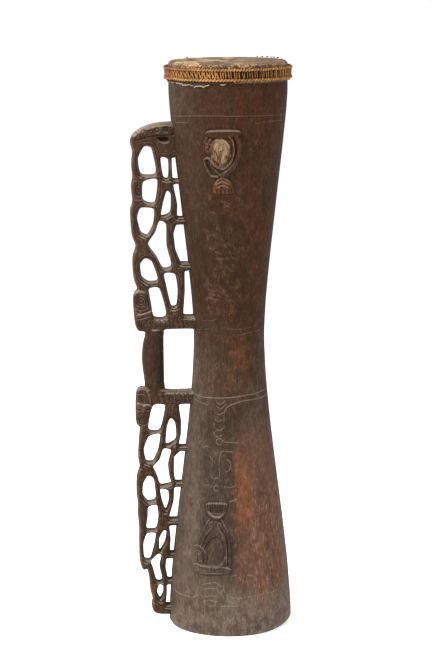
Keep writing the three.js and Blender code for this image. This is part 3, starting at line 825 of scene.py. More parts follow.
def handle_strokes():
    """Every cut and ridge of the handle's carving, as (line, width, height)."""
    strokes = [(curved(points), width, height) for points, width, height in HANDLE_STROKES]
    turn = np.linspace(0, 2 * math.pi, 17)
    for out, up, wide, high in HANDLE_RINGS:
        ring = np.stack([out + wide * np.cos(turn), up + high * np.sin(turn)], axis=1)
        strokes.append((ring, 1.1, -1.5))
    for places, (top, upper, lower, bottom), reach in CROSSBAR_HOOKS:
        for out in places:
            hook = [(out + reach, upper + 1), (out + reach * 0.6, top), (out, upper),
                (out + reach * 0.3, lower),
                    (out - reach * 0.4, bottom), (out - reach, lower - 1)]
            strokes.append((curved(hook), 0.95, -1.3))
    return strokes


def handle_depths(where):
    """Distance in from the nearest edge of the openwork, negative in its openings."""
    edge, loops = handle_loops()
    nearest = within(where, edge, 60)
    for loop in loops:
        nearest = np.minimum(nearest, -within(where, loop, 30))
    return nearest


def handle_slope(where):
    """The way in from the nearest edge of the openwork, as a direction at each point."""
    step = 0.2
    slope = np.stack([
        handle_depths(where + (step, 0)) - handle_depths(where - (step, 0)),
        handle_depths(where + (0, step)) - handle_depths(where - (0, step)),
    ], axis=1)
    return slope / np.maximum(np.linalg.norm(slope, axis=1), 0.1)[:, None]


def handle_net(cell):
    """A flat net over the openwork whose border lies on its outlines."""
    edge, _ = handle_loops()
    low = edge.min(0) - 2 * cell
    count = np.ceil((edge.max(0) + 2 * cell - low) / cell).astype(int)
    across, upward = np.meshgrid(np.arange(count[0]), np.arange(count[1]), indexing="ij")
    where = np.stack([low[0] + across.ravel() * cell, low[1] + upward.ravel() * cell], axis=1)
    nearest = handle_depths(where)
    slope = handle_slope(where)
    border = np.abs(nearest) <= 0.5 * cell
    moved = np.where(border[:, None], where - slope * nearest[:, None], where)
    kind = np.where(border, 0, np.where(nearest > 0, 1, -1))
    faces = []
    grid = np.arange(count[0] * count[1]).reshape(count)
    quads = np.stack([grid[:-1, :-1], grid[1:, :-1], grid[1:, 1:], grid[:-1, 1:]], axis=-1).reshape(-1, 4)
    kinds = kind[quads]
    middles = moved[quads].mean(1)
    middle_depth = handle_depths(middles)
    for quad, sorts, depth in zip(quads, kinds, middle_depth):
        kept = [int(v) for v, sort in zip(quad, sorts) if sort >= 0]
        if len(kept) < 3 or (sorts < 0).sum() > 1:
            continue
        if max(sorts) == 0 and depth < 0.1:
            continue
        faces.append(kept)
    return moved, faces


def between(values, low, high, soft):
    """All between two limits, easing to nothing just inside the first and just outside the second."""
    return step_up(values, low - soft, low + 1) * (1 - step_up(values, high - 1, high + soft))


def shown_by(distance, width):
    """All on a line, falling evenly to nothing at its width."""
    return np.clip(1 - np.abs(distance) / width, 0, 1)


def handle_half_thickness(where, nearest, sizes):
    """Half the handle's thickness at points of [mm out from the axis, mm up], with its carving and its marks of
    painted shade and painted highlight.
    """
    share = np.clip((where[:, 0] - float(OUTSIDE_RADII.min())) / HANDLE_DEPTH, 0, 1)
    thick = (sizes.thickness + share * (sizes.edge_thickness - sizes.thickness)) / MM
    low, high = (h / 1000 * DRUM_HEIGHT for h in GRIP_SPAN)
    grip = step_up(where[:, 1], low - 2, low + 3) * (1 - step_up(where[:, 1], high - 3, high + 2))
    faces_up = step_up(-handle_slope(where)[:, 1], 0.35, 0.9)
    rounding = (sizes.rounding / MM + 4.5 * faces_up) * (1 - grip) + GRIP_ROUNDING * grip
    depth = np.clip(nearest / rounding, 0, 1)
    lowest = (0.66 - 0.14 * faces_up) * (1 - grip) + 0.18 * grip
    profile = lowest + (1 - lowest) * np.sqrt(depth * (2 - depth))
    half = thick / 2 * profile + grip * GRIP_SWELL * depth
    plain = 1 - grip
    for bottom, top in CROSSBARS:
        plain *= 1 - between(where[:, 1], bottom, top, 2)
    cap = within(where, rounded_loop(CAP, 2, 0.2), 20)
    half = half + CAP_RISE * step_up(cap, -0.6, 1.6)
    plain *= 1 - step_up(cap, -2, 0)
    for corners in HEAD_BLOCKS:
        inner = within(where, rounded_loop([handle_point(p) for p in corners], 2, 0.2), 20)
        block = step_up(inner, -0.4, 1.8)
        domed = HEAD_BLOCK_HALF * (0.72 + 0.28 * np.sqrt(np.clip(inner / 9, 0, 1)))
        half = np.maximum(half, half * (1 - block) + domed * block)
        plain *= 1 - step_up(inner, -2, 0)
    pocket = step_up(within(where, rounded_loop(CAP_POCKET, 2, 0.2), 12), -0.5, 2.0)
    half = half - POCKET_DEPTH * pocket
    # Painted shade in the pocket under the cap and over the grip
    dark = np.maximum(0.9 * pocket, 0.38 * grip)
    # Painted highlight along the rims of the strands
    pale = 0.7 * shown_by(nearest - 1.1, 1.3) * (1 - 0.7 * grip)
    _, loops = handle_loops()
    from_opening = np.full(len(where), 1e3)
    for loop in loops:
        from_opening = np.minimum(from_opening, near_distance(where, closed(loop), 14))
    scored = plain * step_up(nearest, 1.6, 2.6)
    for distance, cut in SCORES:
        score = dome(np.abs(from_opening - distance), 0.95) * scored
        half = half - cut * score
        # Painted shade in each scored line, with painted highlight just beyond it
        dark = np.maximum(dark, 0.55 * score)
        pale = np.maximum(pale, 0.55 * scored * shown_by(from_opening - distance - 1.4, 0.8))
    for line, width, height in handle_strokes():
        gap = near_distance(where, line, 8)
        ridge = dome(gap, width)
        half = half + height * ridge
        # Cuts get painted shade with painted highlight beside them, and ridges get painted highlight
        if height < 0:
            dark = np.maximum(dark, 0.8 * ridge)
            pale = np.maximum(pale, 0.45 * shown_by(gap - width - 0.5, 0.7))
        else:
            pale = np.maximum(pale, 0.55 * ridge)
    return half, dark, pale


def make_handle(sizes, material):
    where, faces = handle_net(sizes.cell / MM)
    used = sorted({v for face in faces for v in face})
    renumber = {old: new for new, old in enumerate(used)}
    where = where[used]
    faces = [[renumber[v] for v in face] for face in faces]
    nearest = np.maximum(handle_depths(where), 0)
    half, dark, pale = handle_half_thickness(where, nearest, sizes)
    out = np.array([-math.cos(HANDLE_TURN), -math.sin(HANDLE_TURN), 0])
    front = np.array([math.sin(HANDLE_TURN), -math.cos(HANDLE_TURN), 0])
    base = np.array([AXIS.x / MM, AXIS.y / MM, 0])

    def placed(flat, depth):
        return base + flat[:, :1] * out + depth[:, None] * front + flat[:, 1:] * np.array([0, 0, 1.0])

    count = len(where)
    vertices = [placed(where, half), placed(where, -half)]
    edges = {pair for face in faces for pair in zip(face, face[1:] + face[:1])}
    border = sorted((a, b) for a, b in edges if (b, a) not in edges)
    faces = faces + [[v + count for v in reversed(face)] for face in faces]
    # the walls of the openings and of the outer edge
    rim = sorted({v for pair in border for v in pair})
    slope = handle_slope(where[rim])
    layers = [rim]
    for row in range(1, WALL_ROWS):
        share = row / WALL_ROWS
        flat = where[rim] - slope * WALL_SWELL * math.sin(math.pi * share)
        vertices.append(placed(flat, half[rim] * (1 - 2 * share)))
        first = 2 * count + (row - 1) * len(rim)
        layers.append(range(first, first + len(rim)))
    layers.append([v + count for v in rim])
    place = {v: k for k, v in enumerate(rim)}
    for above, below in zip(layers[:-1], layers[1:]):
        faces += [[above[place[b]], above[place[a]], below[place[a]], below[place[b]]] for a, b in border]
    vertices = np.concatenate(vertices)
    vertices[:, 1] += 0.5 * np.array([noise.noise(Vector(v * 0.11)) for v in vertices])
    piece = new_piece("openwork_handle", vertices * MM, faces, material)
    # the largest chip, where bare orange wood shows
    chip = 1.4 * np.exp(-((where[:, 0] - 127) / 5) ** 2 - ((where[:, 1] - 60) / 9) ** 2)
    walls = len(vertices) - 2 * count
    for name, values, wall in (("dark", dark, 0.0), ("pale", pale, 0.1), ("orange", chip, 0.0)):
        mark(piece, name, np.concatenate([values, values, np.full(walls, wall)]))
    for name in ("line", "cream"):
        mark(piece, name, np.zeros(len(vertices)))
    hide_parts("drum_body")


# Skin head, cane ring and wax
# How far the torn edge of the skin hangs below the ring: degrees from the front, mm
LIP = (
    (-180, -150, -110, -88, -70, -50, -34, -24, -20, -15, -10, -7, 2, 7, 30, 70, 100, 118, 135, 180),
    (6.0, 2.0, 3.5, 2.5, 4.5, 6.5, 9.0, 11.0, 8.0, 2.6, 2.4, 5.4, 4.6, 2.2, 1.6, 1.8, 4.5, 5.0, 2.0, 6.0),
)
LIP_STEPS = 6
SKIN_COLUMNS = 240
# The rounded shoulder of the skin and how far the middle of the head dips, in mm
SHOULDER = 7
HEAD_DIP = 1.1


def lip_length(degrees):
    """How far the ragged edge hangs below the ring, in mm, most at the left of the front."""
    degrees = (degrees + 180) % 360 - 180
    long = np.interp(degrees, *LIP)
    ragged = noise.noise(Vector((degrees * 0.3, 3.1, 0))) + noise.noise(Vector((degrees * 0.9, 8, 0)))
    return max(1.0, long + ragged * (1.2 + 0.28 * long))


def skin_creases(angle, radius):
    """The unevenness of the flat of the head, in mm."""
    way = Vector((radius * math.sin(angle), radius * math.cos(angle), 0))
    return (0.35 * noise.noise(way * 0.05 + Vector((0, 0, 7)))
            + 0.18 * noise.noise(way * 0.2 + Vector((0, 0, 17))) - 0.25)


def lip_place(degrees, share, outer, ring_foot):
    """A place on the ragged edge, a share of the way down it."""
    long = lip_length(degrees)
    curl = (0.6 + 0.42 * long * share) * share
    curl += share * 1.1 * noise.noise(Vector((degrees * 0.25, 0, share * 2)))
    radius = min(outer + 0.6 + max(0.3, curl), outer + 6.6)
    return place_round(math.radians(degrees), radius, ring_foot + 1 - long * share * (1 - 0.22 * share))


def make_skin(sizes, material):
    top = skin_high.z / MM
    outer = (skin_high.x - AXIS.x) / MM - 0.4
    flat = outer - SHOULDER
    ring_foot = RING_LOW.z / MM
    profile = [(r, top - 0.3 - HEAD_DIP * (1 - r / 90) ** 2) for r in np.linspace(0, flat, 26)]
    profile += [(flat + SHOULDER * math.sin(t), top - 0.3 - SHOULDER * (1 - math.cos(t)))
                for t in np.linspace(0.2, math.pi / 2, 8)]
    profile += [(outer, top - 10), (outer, top - 16), (outer, top - 22), (outer, ring_foot + 1)]
    turn = [step / SKIN_COLUMNS * 2 * math.pi for step in range(SKIN_COLUMNS)]
    rings = [
        [place_round(a, r, h + skin_creases(a, r) if r < flat + 1 else h) for a in turn]
        for r, h in profile[1:]
    ]
    rings += [
        [lip_place(math.degrees(a), step / LIP_STEPS, outer, ring_foot) for a in turn]
        for step in range(1, LIP_STEPS + 1)
    ]
    vertices = [place_round(0, 0, profile[0][1])] + [v for ring in rings for v in ring]
    rows = [list(range(first, first + SKIN_COLUMNS)) for first in range(1, len(vertices), SKIN_COLUMNS)]
    faces = [(0, here, after) for here, after in zip(rows[0], rows[0][1:] + rows[0][:1])]
    for above, below in zip(rows[:-1], rows[1:]):
        faces += band_faces(above, below, True)
    hanging = np.clip((np.array([lip_length(math.degrees(a)) for a in turn]) - 1.6) / 4, 0.1, 1)
    torn = np.zeros(len(vertices))
    for step, row in enumerate(rows[-LIP_STEPS:], 1):
        torn[row] = step / LIP_STEPS * hanging
    piece = new_piece("skin_head", [v * MM for v in vertices], faces, material)
    mark(piece, "torn", torn)
    thicken(piece, sizes.skin_fold)
    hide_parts("drum_skin")


def thicken(piece, thickness):
    """Gives a sheet its thickness for good, inwards from the surface that shows."""
    modifier = piece.modifiers.new("thickness", "SOLIDIFY")
    modifier.thickness = thickness
    modifier.offset = -1
    sheet = piece.data
    piece.data = bpy.data.meshes.new_from_object(piece.evaluated_get(bpy.context.evaluated_depsgraph_get()))
    piece.modifiers.clear()
    bpy.data.meshes.remove(sheet)
    smooth(piece.data)


class Cane:
    """Strands of cane gathered into one mesh, each with its own tone and painted shade where it turns inwards.
    """

    def __init__(self):
        self.vertices = []
        self.faces = []
        self.strand = []
        self.crease = []

    def add(self, path, radius, tone, sides, joined=False, flatness=1.0, hidden=0.0, ends=0.0):
        """Adds one strand. Hidden paints shade on what lies towards the drum, ends paints shade on the ends of
        the strand.
        """
        count = len(path)
        first = len(self.vertices)
        axis = Vector((AXIS.x, AXIS.y, 0)) / MM
        middle = sum((p.xy - axis.xy).length for p in path) / count
        for index, here in enumerate(path):
            before = path[index - 1] if joined or index else here
            after = path[(index + 1) % count] if joined or index < count - 1 else here
            along = (after - before).normalized()
            outward = Vector((here.x - axis.x, here.y - axis.y, 0))
            depth = middle - outward.length
            side = along.cross(outward.normalized()).normalized()
            outward = side.cross(along).normalized()
            end = ends * (1 - math.sin(math.pi * index / max(count - 1, 1)))
            for k in range(sides):
                t = k / sides * 2 * math.pi
                self.vertices.append(
                    here + side * math.cos(t) * radius + outward * math.sin(t) * radius * flatness)
                # Painted shade on the inward side and the flanks of the strand
                inward = max(0.0, -math.sin(t)) + max(0.0, abs(math.cos(t)) - 0.75) * 1.6
                self.crease.append(min(1.0, max(0.0, inward + hidden * (depth + 0.8) + end)))
                self.strand.append(tone)
        rows = [list(range(start, start + sides)) for start in range(first, len(self.vertices), sides)]
        for here, there in zip(rows, rows[1:] + rows[:1] if joined else rows[1:]):
            self.faces += band_faces(here, there)
        if not joined:
            self.faces += [rows[0][::-1], rows[-1]]


class Ring:
    """The room the cane ring takes up, in mm, and the paths of its strands."""

    def __init__(self):
        self.top = RING_HIGH.z / MM
        self.low = RING_LOW.z / MM
        self.outside = (RING_HIGH.x - AXIS.x) / MM
        self.inside = (skin_high.x - AXIS.x) / MM

    def rail(self, radius, height, turns, swing, start):
        """One of the two twisted strands of a rail."""
        path = []
        for step in range(turns * 10):
            a = step / (turns * 10) * 2 * math.pi
            t = a * turns + start
            wander = 0.8 * noise.noise(Vector((math.sin(a) * 5, math.cos(a) * 5, height * 0.1)))
            path.append(place_round(a, radius + swing * math.cos(t) + wander * 0.4,
                                    height + swing * 0.95 * math.sin(t) + wander))
        return path

    def upright(self, angle, lean, start, end, steps, bulge=0.0):
        """A strand from the upper rail to the lower one, both ends given as (radius, height)."""
        path = []
        for share in np.linspace(0, 1, steps):
            radius = start[0] + (end[0] - start[0]) * share + bulge * math.sin(math.pi * share)
            path.append(place_round(angle + lean * share, radius, start[1] + (end[1] - start[1]) * share))
        return path


def make_ring(sizes, material):
    ring = Ring()
    top, low, outside, inner = ring.top, ring.low, ring.outside, ring.inside
    work = Cane()
    rails = (
        (outside - 3.1, top - 2.6, 66, 1.2, 1.35),
        (inner + 4.3, low + 2.8, 57, 1.3, 1.55),
    )
    for radius, height, turns, swing, thick in rails:
        for strand in range(2):
            path = ring.rail(radius, height, turns, swing, strand * math.pi)
            work.add(path, thick, 0.7 - 0.15 * strand, 8, True, hidden=0.95)
    # dark hoops behind the strands, tight on the skin, painted black as painted shade between the strands
    turn = np.linspace(0, 2 * math.pi, 120, endpoint=False)
    for height in np.linspace(low + 3.5, top - 3.5, 5):
        work.add([place_round(a, inner + 1.3, height) for a in turn], 1.9, 0.1, 6, True, 0.9, 1.0)
    for strand in range(sizes.strands):
        shift = 0.45 * noise.noise(Vector((strand * 1.7, 0, 0)))
        a = (strand + shift) / sizes.strands * 2 * math.pi
        lean = 0.03 * noise.noise(Vector((strand * 0.9, 5, 0))) + 0.016
        away = (math.degrees(a) - 28 + 180) % 360 - 180
        thin = 0.55 if abs(away) < 28 else 0.82 + 0.25 * noise.noise(Vector((strand * 2.3, 9, 0)))
        tone = 0.45 + 0.8 * noise.noise(Vector((strand * 3.1, 2, 0)))
        path = ring.upright(a, lean, (outside - 3.6, top - 3.0), (inner + 3.8, low + 3.2), 7, 0.9)
        work.add(path, sizes.cane / MM * 0.5 * thin, tone, 6, flatness=0.75, ends=0.5)
    # crossed strands on the left of the front
    for degrees in range(-84, -8, 4):
        a = math.radians(degrees + 1.5 * noise.noise(Vector((degrees, 1, 0))))
        path = ring.upright(a, 0.085, (outside - 2.1, top - 3.6), (outside - 3.0, low + 3.0), 6)
        work.add(path, 0.95, 0.75, 6, flatness=0.7, ends=0.6)
    # thick turns that bind the ends together at the right
    for degrees in (47, 53, 58, 62, 68, 73, 79):
        path = ring.upright(
            math.radians(degrees), 0.03, (outside - 2.3, top - 1.9), (outside - 3.5, low + 1.9), 7)
        tone = 0.5 + 0.3 * noise.noise(Vector((degrees, 7, 0)))
        work.add(path, 1.75, tone, 8, flatness=0.9, ends=0.45)
    piece = new_piece("cane_ring", [v * MM for v in work.vertices], work.faces, material)
    mark(piece, "strand", work.strand)
    mark(piece, "crease", work.crease)
    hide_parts("rattan_ring")


def make_lump(number, material):
    """A lump of wax, pressed on by hand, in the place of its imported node."""
    node = f"wax_pellet_{number}"
    low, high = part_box(node)
    middle = (low + high) / 2
    reach = (high - low) / 2
    rings, around = 9, 16
    vertices = []
    for ring in range(rings + 1):
        t = ring / rings * math.pi
        for step in range(around):
            a = step / around * 2 * math.pi
            way = Vector((math.sin(t) * math.cos(a), math.sin(t) * math.sin(a), math.cos(t)))
            dent = min(0.99, 0.88 + 0.2 * noise.noise(way * 1.6 + Vector((number * 3.1, 0, 0))))
            across = Vector((way.x * reach.x, way.y * reach.y, 0)) * dent
            seat = Vector((middle.x, middle.y, low.z + (way.z * dent + 1) * 0.62 * reach.z))
            vertices.append(seat + across)
    rows = [list(range(first, first + around)) for first in range(0, len(vertices), around)]
    faces = [face for above, below in zip(rows[:-1], rows[1:]) for face in band_faces(above, below, True)]
    piece = new_piece(f"wax_lump_{number}", vertices, faces, material)
    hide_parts(node)


# Materials
RED_BROWN = (0.068, 0.022, 0.0095)
BARE_ORANGE = (0.135, 0.047, 0.016)
BOSS_SHADE = (0.13, 0.070, 0.034)
BOSS_CREAM = (0.32, 0.210, 0.120)
# Dust on up-facing surfaces, with painted highlight there
TOP_DUST_AND_HIGHLIGHT = (0.34, 0.275, 0.215)
# Painted shade, for cuts, hollows and the foot of raised parts
PAINTED_SHADE = (0.012, 0.006, 0.004)
# Painted highlights on raised edges of the handle and of the log
HANDLE_PAINTED_HIGHLIGHT = (0.30, 0.215, 0.15)
LOG_PAINTED_HIGHLIGHT = (0.30, 0.185, 0.110)
# The incised lines, in the upper wood and in the paler lower wood
LINE_BROWN = (0.25, 0.14, 0.075)
LINE_CREAM = (0.33, 0.25, 0.18)


class Value:
    """A number that varies over a surface. Its operators add Math nodes."""

    def __init__(self, shader, socket):
        self.shader = shader
        self.socket = socket

    def combine(self, operation, other, swapped=False):
        first, second = (other, self) if swapped else (self, other)
        node = self.shader.node("ShaderNodeMath", {"operation": operation}, {0: first, 1: second})
        return Value(self.shader, node.outputs[0])

    def __add__(self, other):
        return self.combine("ADD", other)

    def __radd__(self, other):
        return self.combine("ADD", other, True)

    def __sub__(self, other):
        return self.combine("SUBTRACT", other)

    def __rsub__(self, other):
        return self.combine("SUBTRACT", other, True)

    def __mul__(self, other):
        return self.combine("MULTIPLY", other)

    def __rmul__(self, other):
        return self.combine("MULTIPLY", other, True)


class NodeSet:
    """The nodes of one material or world."""

    def __init__(self, tree):
        self.tree = tree

    def node(self, kind, settings=None, sockets=None):
        node = self.tree.nodes.new(kind)
        for key, value in (settings or {}).items():
            setattr(node, key, value)
        for key, value in (sockets or {}).items():
            self.feed(node.inputs[key], value)
        return node

    def feed(self, socket, value):
        if isinstance(value, Value):
            self.tree.links.new(value.socket, socket)
        elif isinstance(value, bpy.types.NodeSocket):
            self.tree.links.new(value, socket)
        elif socket.type == "RGBA":
            socket.default_value = (*value, 1)
        else:
            socket.default_value = value


class Finish(NodeSet):
    """One material being built."""

    def __init__(self, name):
        self.material = bpy.data.materials.new(name)
        self.material.use_nodes = True
        super().__init__(self.material.node_tree)
        self.shader = self.tree.nodes["Principled BSDF"]

    def mark(self, name):
        """A value the piece carries at each of its points."""
        node = self.node("ShaderNodeAttribute", {"attribute_name": name})
        return Value(self, node.outputs["Fac"])

    def place(self, scale=(1, 1, 1), shift=(0, 0, 0)):
        """Object coordinates in metres, stretched by a scale."""
        source = self.node("ShaderNodeTexCoord").outputs["Object"]
        node = self.node("ShaderNodeMapping", {}, {"Vector": source, "Scale": scale, "Location": shift})
        return node.outputs[0]

    def axes(self):
        """Place on the object along X, Y and Z as three values."""
        source = self.node("ShaderNodeTexCoord").outputs["Object"]
        node = self.node("ShaderNodeSeparateXYZ", {}, {0: source})
        return [Value(self, node.outputs[k]) for k in range(3)]

    def facing_up(self):
        """How far the surface faces upwards."""
        normal = self.node("ShaderNodeNewGeometry").outputs["Normal"]
        node = self.node("ShaderNodeSeparateXYZ", {}, {0: normal})
        return Value(self, node.outputs[2])

    def cloud(self, scale, stretch=(1, 1, 1), detail=4.0, roughness=0.55, shift=(0, 0, 0)):
        node = self.node("ShaderNodeTexNoise", {"noise_dimensions": "3D"}, {
            "Vector": self.place(stretch, shift), "Scale": scale, "Detail": detail, "Roughness": roughness,
        })
        return Value(self, node.outputs["Fac"])

    def cells(self, scale):
        """The distance from the middle of the nearest of many small cells."""
        node = self.node("ShaderNodeTexVoronoi", {}, {"Vector": self.place(), "Scale": scale})
        return Value(self, node.outputs["Distance"])

    def ramp(self, value, low, high):
        """A value eased from nothing at low to all at high."""
        node = self.node("ShaderNodeMapRange", {"interpolation_type": "SMOOTHSTEP"}, {
            "Value": value, "From Min": low, "From Max": high, "To Min": 0.0, "To Max": 1.0,
        })
        return Value(self, node.outputs[0])

    def band(self, value, low, high, soft):
        """All between low and high, easing to nothing just outside them."""
        half = soft / 2
        return self.ramp(value, low - half, low + half) * self.ramp(value, high + half, high - half)

    def blend(self, share, first, second, mode="MIX"):
        """The first colour going over to the second by a share."""
        node = self.node("ShaderNodeMix", {"data_type": "RGBA", "blend_type": mode, "clamp_factor": True})
        inputs = [s for s in node.inputs if s.type == "RGBA"]
        self.feed(node.inputs[0], share)
        self.feed(inputs[0], first)
        self.feed(inputs[1], second)
        return [s for s in node.outputs if s.type == "RGBA"][0]

    def bump(self, height, distance, strength=1.0):
        node = self.node("ShaderNodeBump", {}, {"Height": height, "Distance": distance, "Strength": strength})
        return node.outputs[0]

    def finish(self, colour, roughness, normal, gloss=0.5):
        self.feed(self.shader.inputs["Base Color"], colour)
        self.feed(self.shader.inputs["Roughness"], roughness)
        self.feed(self.shader.inputs["Normal"], normal)
        self.shader.inputs["Specular IOR Level"].default_value = gloss
        return self.material


def old_wood(colours, name, handle=False):
    """Dark hand-carved wood: upright grain, dust in the lines, dust and painted highlight on up-facing surfaces,
    painted highlight on raised edges, painted shade in cuts and under raised parts, and red where it is worn.
    """
    f = Finish(name)
    x, y, z = f.axes()
    across = x - AXIS.x
    grain = f.cloud(1.0, (260, 260, 9), 5, 0.6)
    fine_grain = f.cloud(1.0, (900, 900, 34), 3, 0.6, (3, 1, 0))
    streak = f.cloud(1.0, (70, 70, 6), 4, 0.55, (9, 2, 4))
    patch = f.cloud(11, (1, 1, 0.6), 4, 0.6, (1, 5, 2))
    mottle = f.cloud(85, (1, 1, 0.7), 5, 0.65, (7, 3, 1))
    speckle = f.cloud(420, (1, 1, 0.36), 3, 0.65)
    dark = tuple(colours.dark)
    deep = tuple(c * 0.45 for c in dark)
    dust = tuple(colours.dust)
    if handle:
        dark = tuple(c * 0.85 for c in dark)
        grey_share = 0.05 + 0.3 * patch
    else:
        lower = f.ramp(z + 0.22 * patch, 0.68, 0.30)
        # The left side is painted greyer and lighter as well, a painted stand-in for light from the left
        left = f.ramp(across + 0.05 * patch, 0.02, -0.05) * 0.28
        grey_share = f.ramp(lower + left, 0.0, 1.1)
    colour = f.blend(grey_share, dark, tuple(colours.grey))
    reddish = f.ramp(streak * 0.6 + patch * 0.5, 0.46, 0.66)
    redness = 0.50
    if not handle:
        head = f.band(across, -0.035, 0.05, 0.02) * f.ramp(z, 0.74, 0.82)
        redness = 0.12 + 0.46 * f.ramp(across, -0.03, 0.05) + head * 0.30
    colour = f.blend(reddish * redness, colour, RED_BROWN)
    colour = f.blend(f.ramp(fine_grain * 0.6 + grain * 0.4, 0.44, 0.66) * 0.42, colour, deep)
    if not handle:
        clouds = (streak, fine_grain, mottle, patch)
        colour = worn_front(f, colour, tuple(colours.red), across, y - AXIS.y, z, clouds)
    tone = 0.54 + 0.30 * f.ramp(mottle, 0.34, 0.66) + 0.44 * f.ramp(speckle, 0.32, 0.68)
    colour = f.blend(1.0, colour, tone, "MULTIPLY")
    orange = f.mark("orange") * f.ramp(mottle * 0.5 + fine_grain * 0.5, 0.36, 0.60)
    colour = f.blend(orange * 0.72, colour, BARE_ORANGE)
    cream = f.mark("cream") * f.ramp(patch * 0.3 + speckle * 0.3 + mottle * 0.4, 0.38, 0.54)
    boss = f.blend(f.ramp(mottle * 0.75 + speckle * 0.3, 0.43, 0.62), BOSS_SHADE, BOSS_CREAM)
    colour = f.blend(cream * 0.9, colour, boss)
    scuff = f.ramp(speckle * 0.5 + mottle * 0.5, 0.52, 0.70)
    colour = f.blend(scuff * (0.10 if handle else 0.07 + 0.08 * f.ramp(z, 0.60, 0.35)), colour, dust)
    # Dust on up-facing surfaces, with painted highlight there
    dusty = f.ramp(f.facing_up() + 0.2 * patch, 0.26, 0.72) * f.ramp(speckle, 0.20, 0.50)
    colour = f.blend(dusty * (0.62 if handle else 0.45), colour, TOP_DUST_AND_HIGHLIGHT)
    # Painted shade from the dark mark
    colour = f.blend(f.mark("dark") * 0.85, colour, PAINTED_SHADE)
    # Painted highlight from the pale mark
    pale = f.mark("pale") * f.ramp(speckle * 0.6 + mottle * 0.5, 0.40, 0.70)
    colour = f.blend(pale * (0.50 if handle else 0.55), colour, HANDLE_PAINTED_HIGHLIGHT if handle else LOG_PAINTED_HIGHLIGHT)
    low = f.ramp(z, 0.52, 0.40)
    kept = low * 0.06 + f.ramp(z, 0.80, 0.83) * 0.12 + f.band(z, 0.37, 0.40, 0.01) * 0.08
    line = f.mark("line") * f.ramp(speckle * 0.5 + mottle * 0.6 + kept, 0.46, 0.66)
    colour = f.blend(line * (0.40 + 0.08 * low), colour, f.blend(low, LINE_BROWN, LINE_CREAM))
    roughness = 0.50 + 0.22 * grain + 0.12 * speckle
    height = grain * 0.6 + fine_grain * 0.3 + speckle * 0.4
    return f.finish(colour, roughness, f.bump(height, 0.0010, 0.9), 0.07)


def worn_front(f, colour, red, across, depth, z, clouds):
    """The log's front: red where the wood is rubbed, dark behind the curls, dust at the foot, and painted light
    on the right of the foot.
    """
    streak, fine_grain, mottle, patch = clouds
    front = f.ramp(depth, 0.0, -0.02)
    ragged = across + 0.016 * mottle + 0.012 * streak - 0.014
    height = z + 0.05 * mottle + 0.03 * streak - 0.04
    torn = streak * 0.35 + fine_grain * 0.35 + mottle * 0.35
    curls = f.band(z, 0.53, 0.72, 0.10) + f.band(z, 0.10, 0.38, 0.09)
    middle = f.band(across + 0.02 * patch, -0.040, 0.034, 0.022) * curls * front
    colour = f.blend(middle * 0.58, colour, (0.022, 0.0115, 0.006))
    under = f.band(ragged, 0.008, 0.110, 0.012) * f.band(height, 0.066, 0.330, 0.05) * front
    colour = f.blend(under * 0.58, colour, (0.122, 0.054, 0.033))
    broad = f.band(ragged, 0.010, 0.040, 0.009) * f.band(height, 0.186, 0.288, 0.05)
    thin = f.band(ragged, 0.030, 0.060, 0.010) * f.band(height, 0.040, 0.170, 0.03)
    high = f.band(ragged, -0.008, 0.028, 0.016) * f.band(height, 0.400, 0.490, 0.04)
    worn = broad * f.ramp(torn, 0.40, 0.60) * 0.66 + thin * f.ramp(torn, 0.44, 0.60) * 0.25
    worn = (worn + high * f.ramp(torn, 0.46, 0.66) * 0.4) * front
    colour = f.blend(worn * 0.72, colour, red)
    flecks = f.ramp(f.cloud(1.0, (430, 430, 80), 2, 0.5, (5, 8, 1)), 0.54, 0.68)
    flecked = f.band(ragged, 0.034, 0.095, 0.015) * f.band(height, 0.05, 0.25, 0.05) * front
    colour = f.blend(flecks * flecked * 0.5, colour, (0.33, 0.17, 0.09))
    chalk_and_painted_light = f.ramp(z + 0.05 * patch, 0.085, 0.03) * f.ramp(mottle * 0.6 + patch * 0.5, 0.50, 0.64)
    chalk_and_painted_light = chalk_and_painted_light + f.band(ragged, -0.006, 0.052, 0.012) * f.band(height, 0.02, 0.075, 0.02) * 0.6
    # The right of the foot is painted lighter, standing in for fill light from the right
    chalk_and_painted_light = chalk_and_painted_light + f.band(ragged, 0.045, 0.120, 0.012) * f.band(height, -0.02, 0.070, 0.02) * front * 0.7
    return f.blend(chalk_and_painted_light * 0.36, colour, (0.20, 0.155, 0.122))


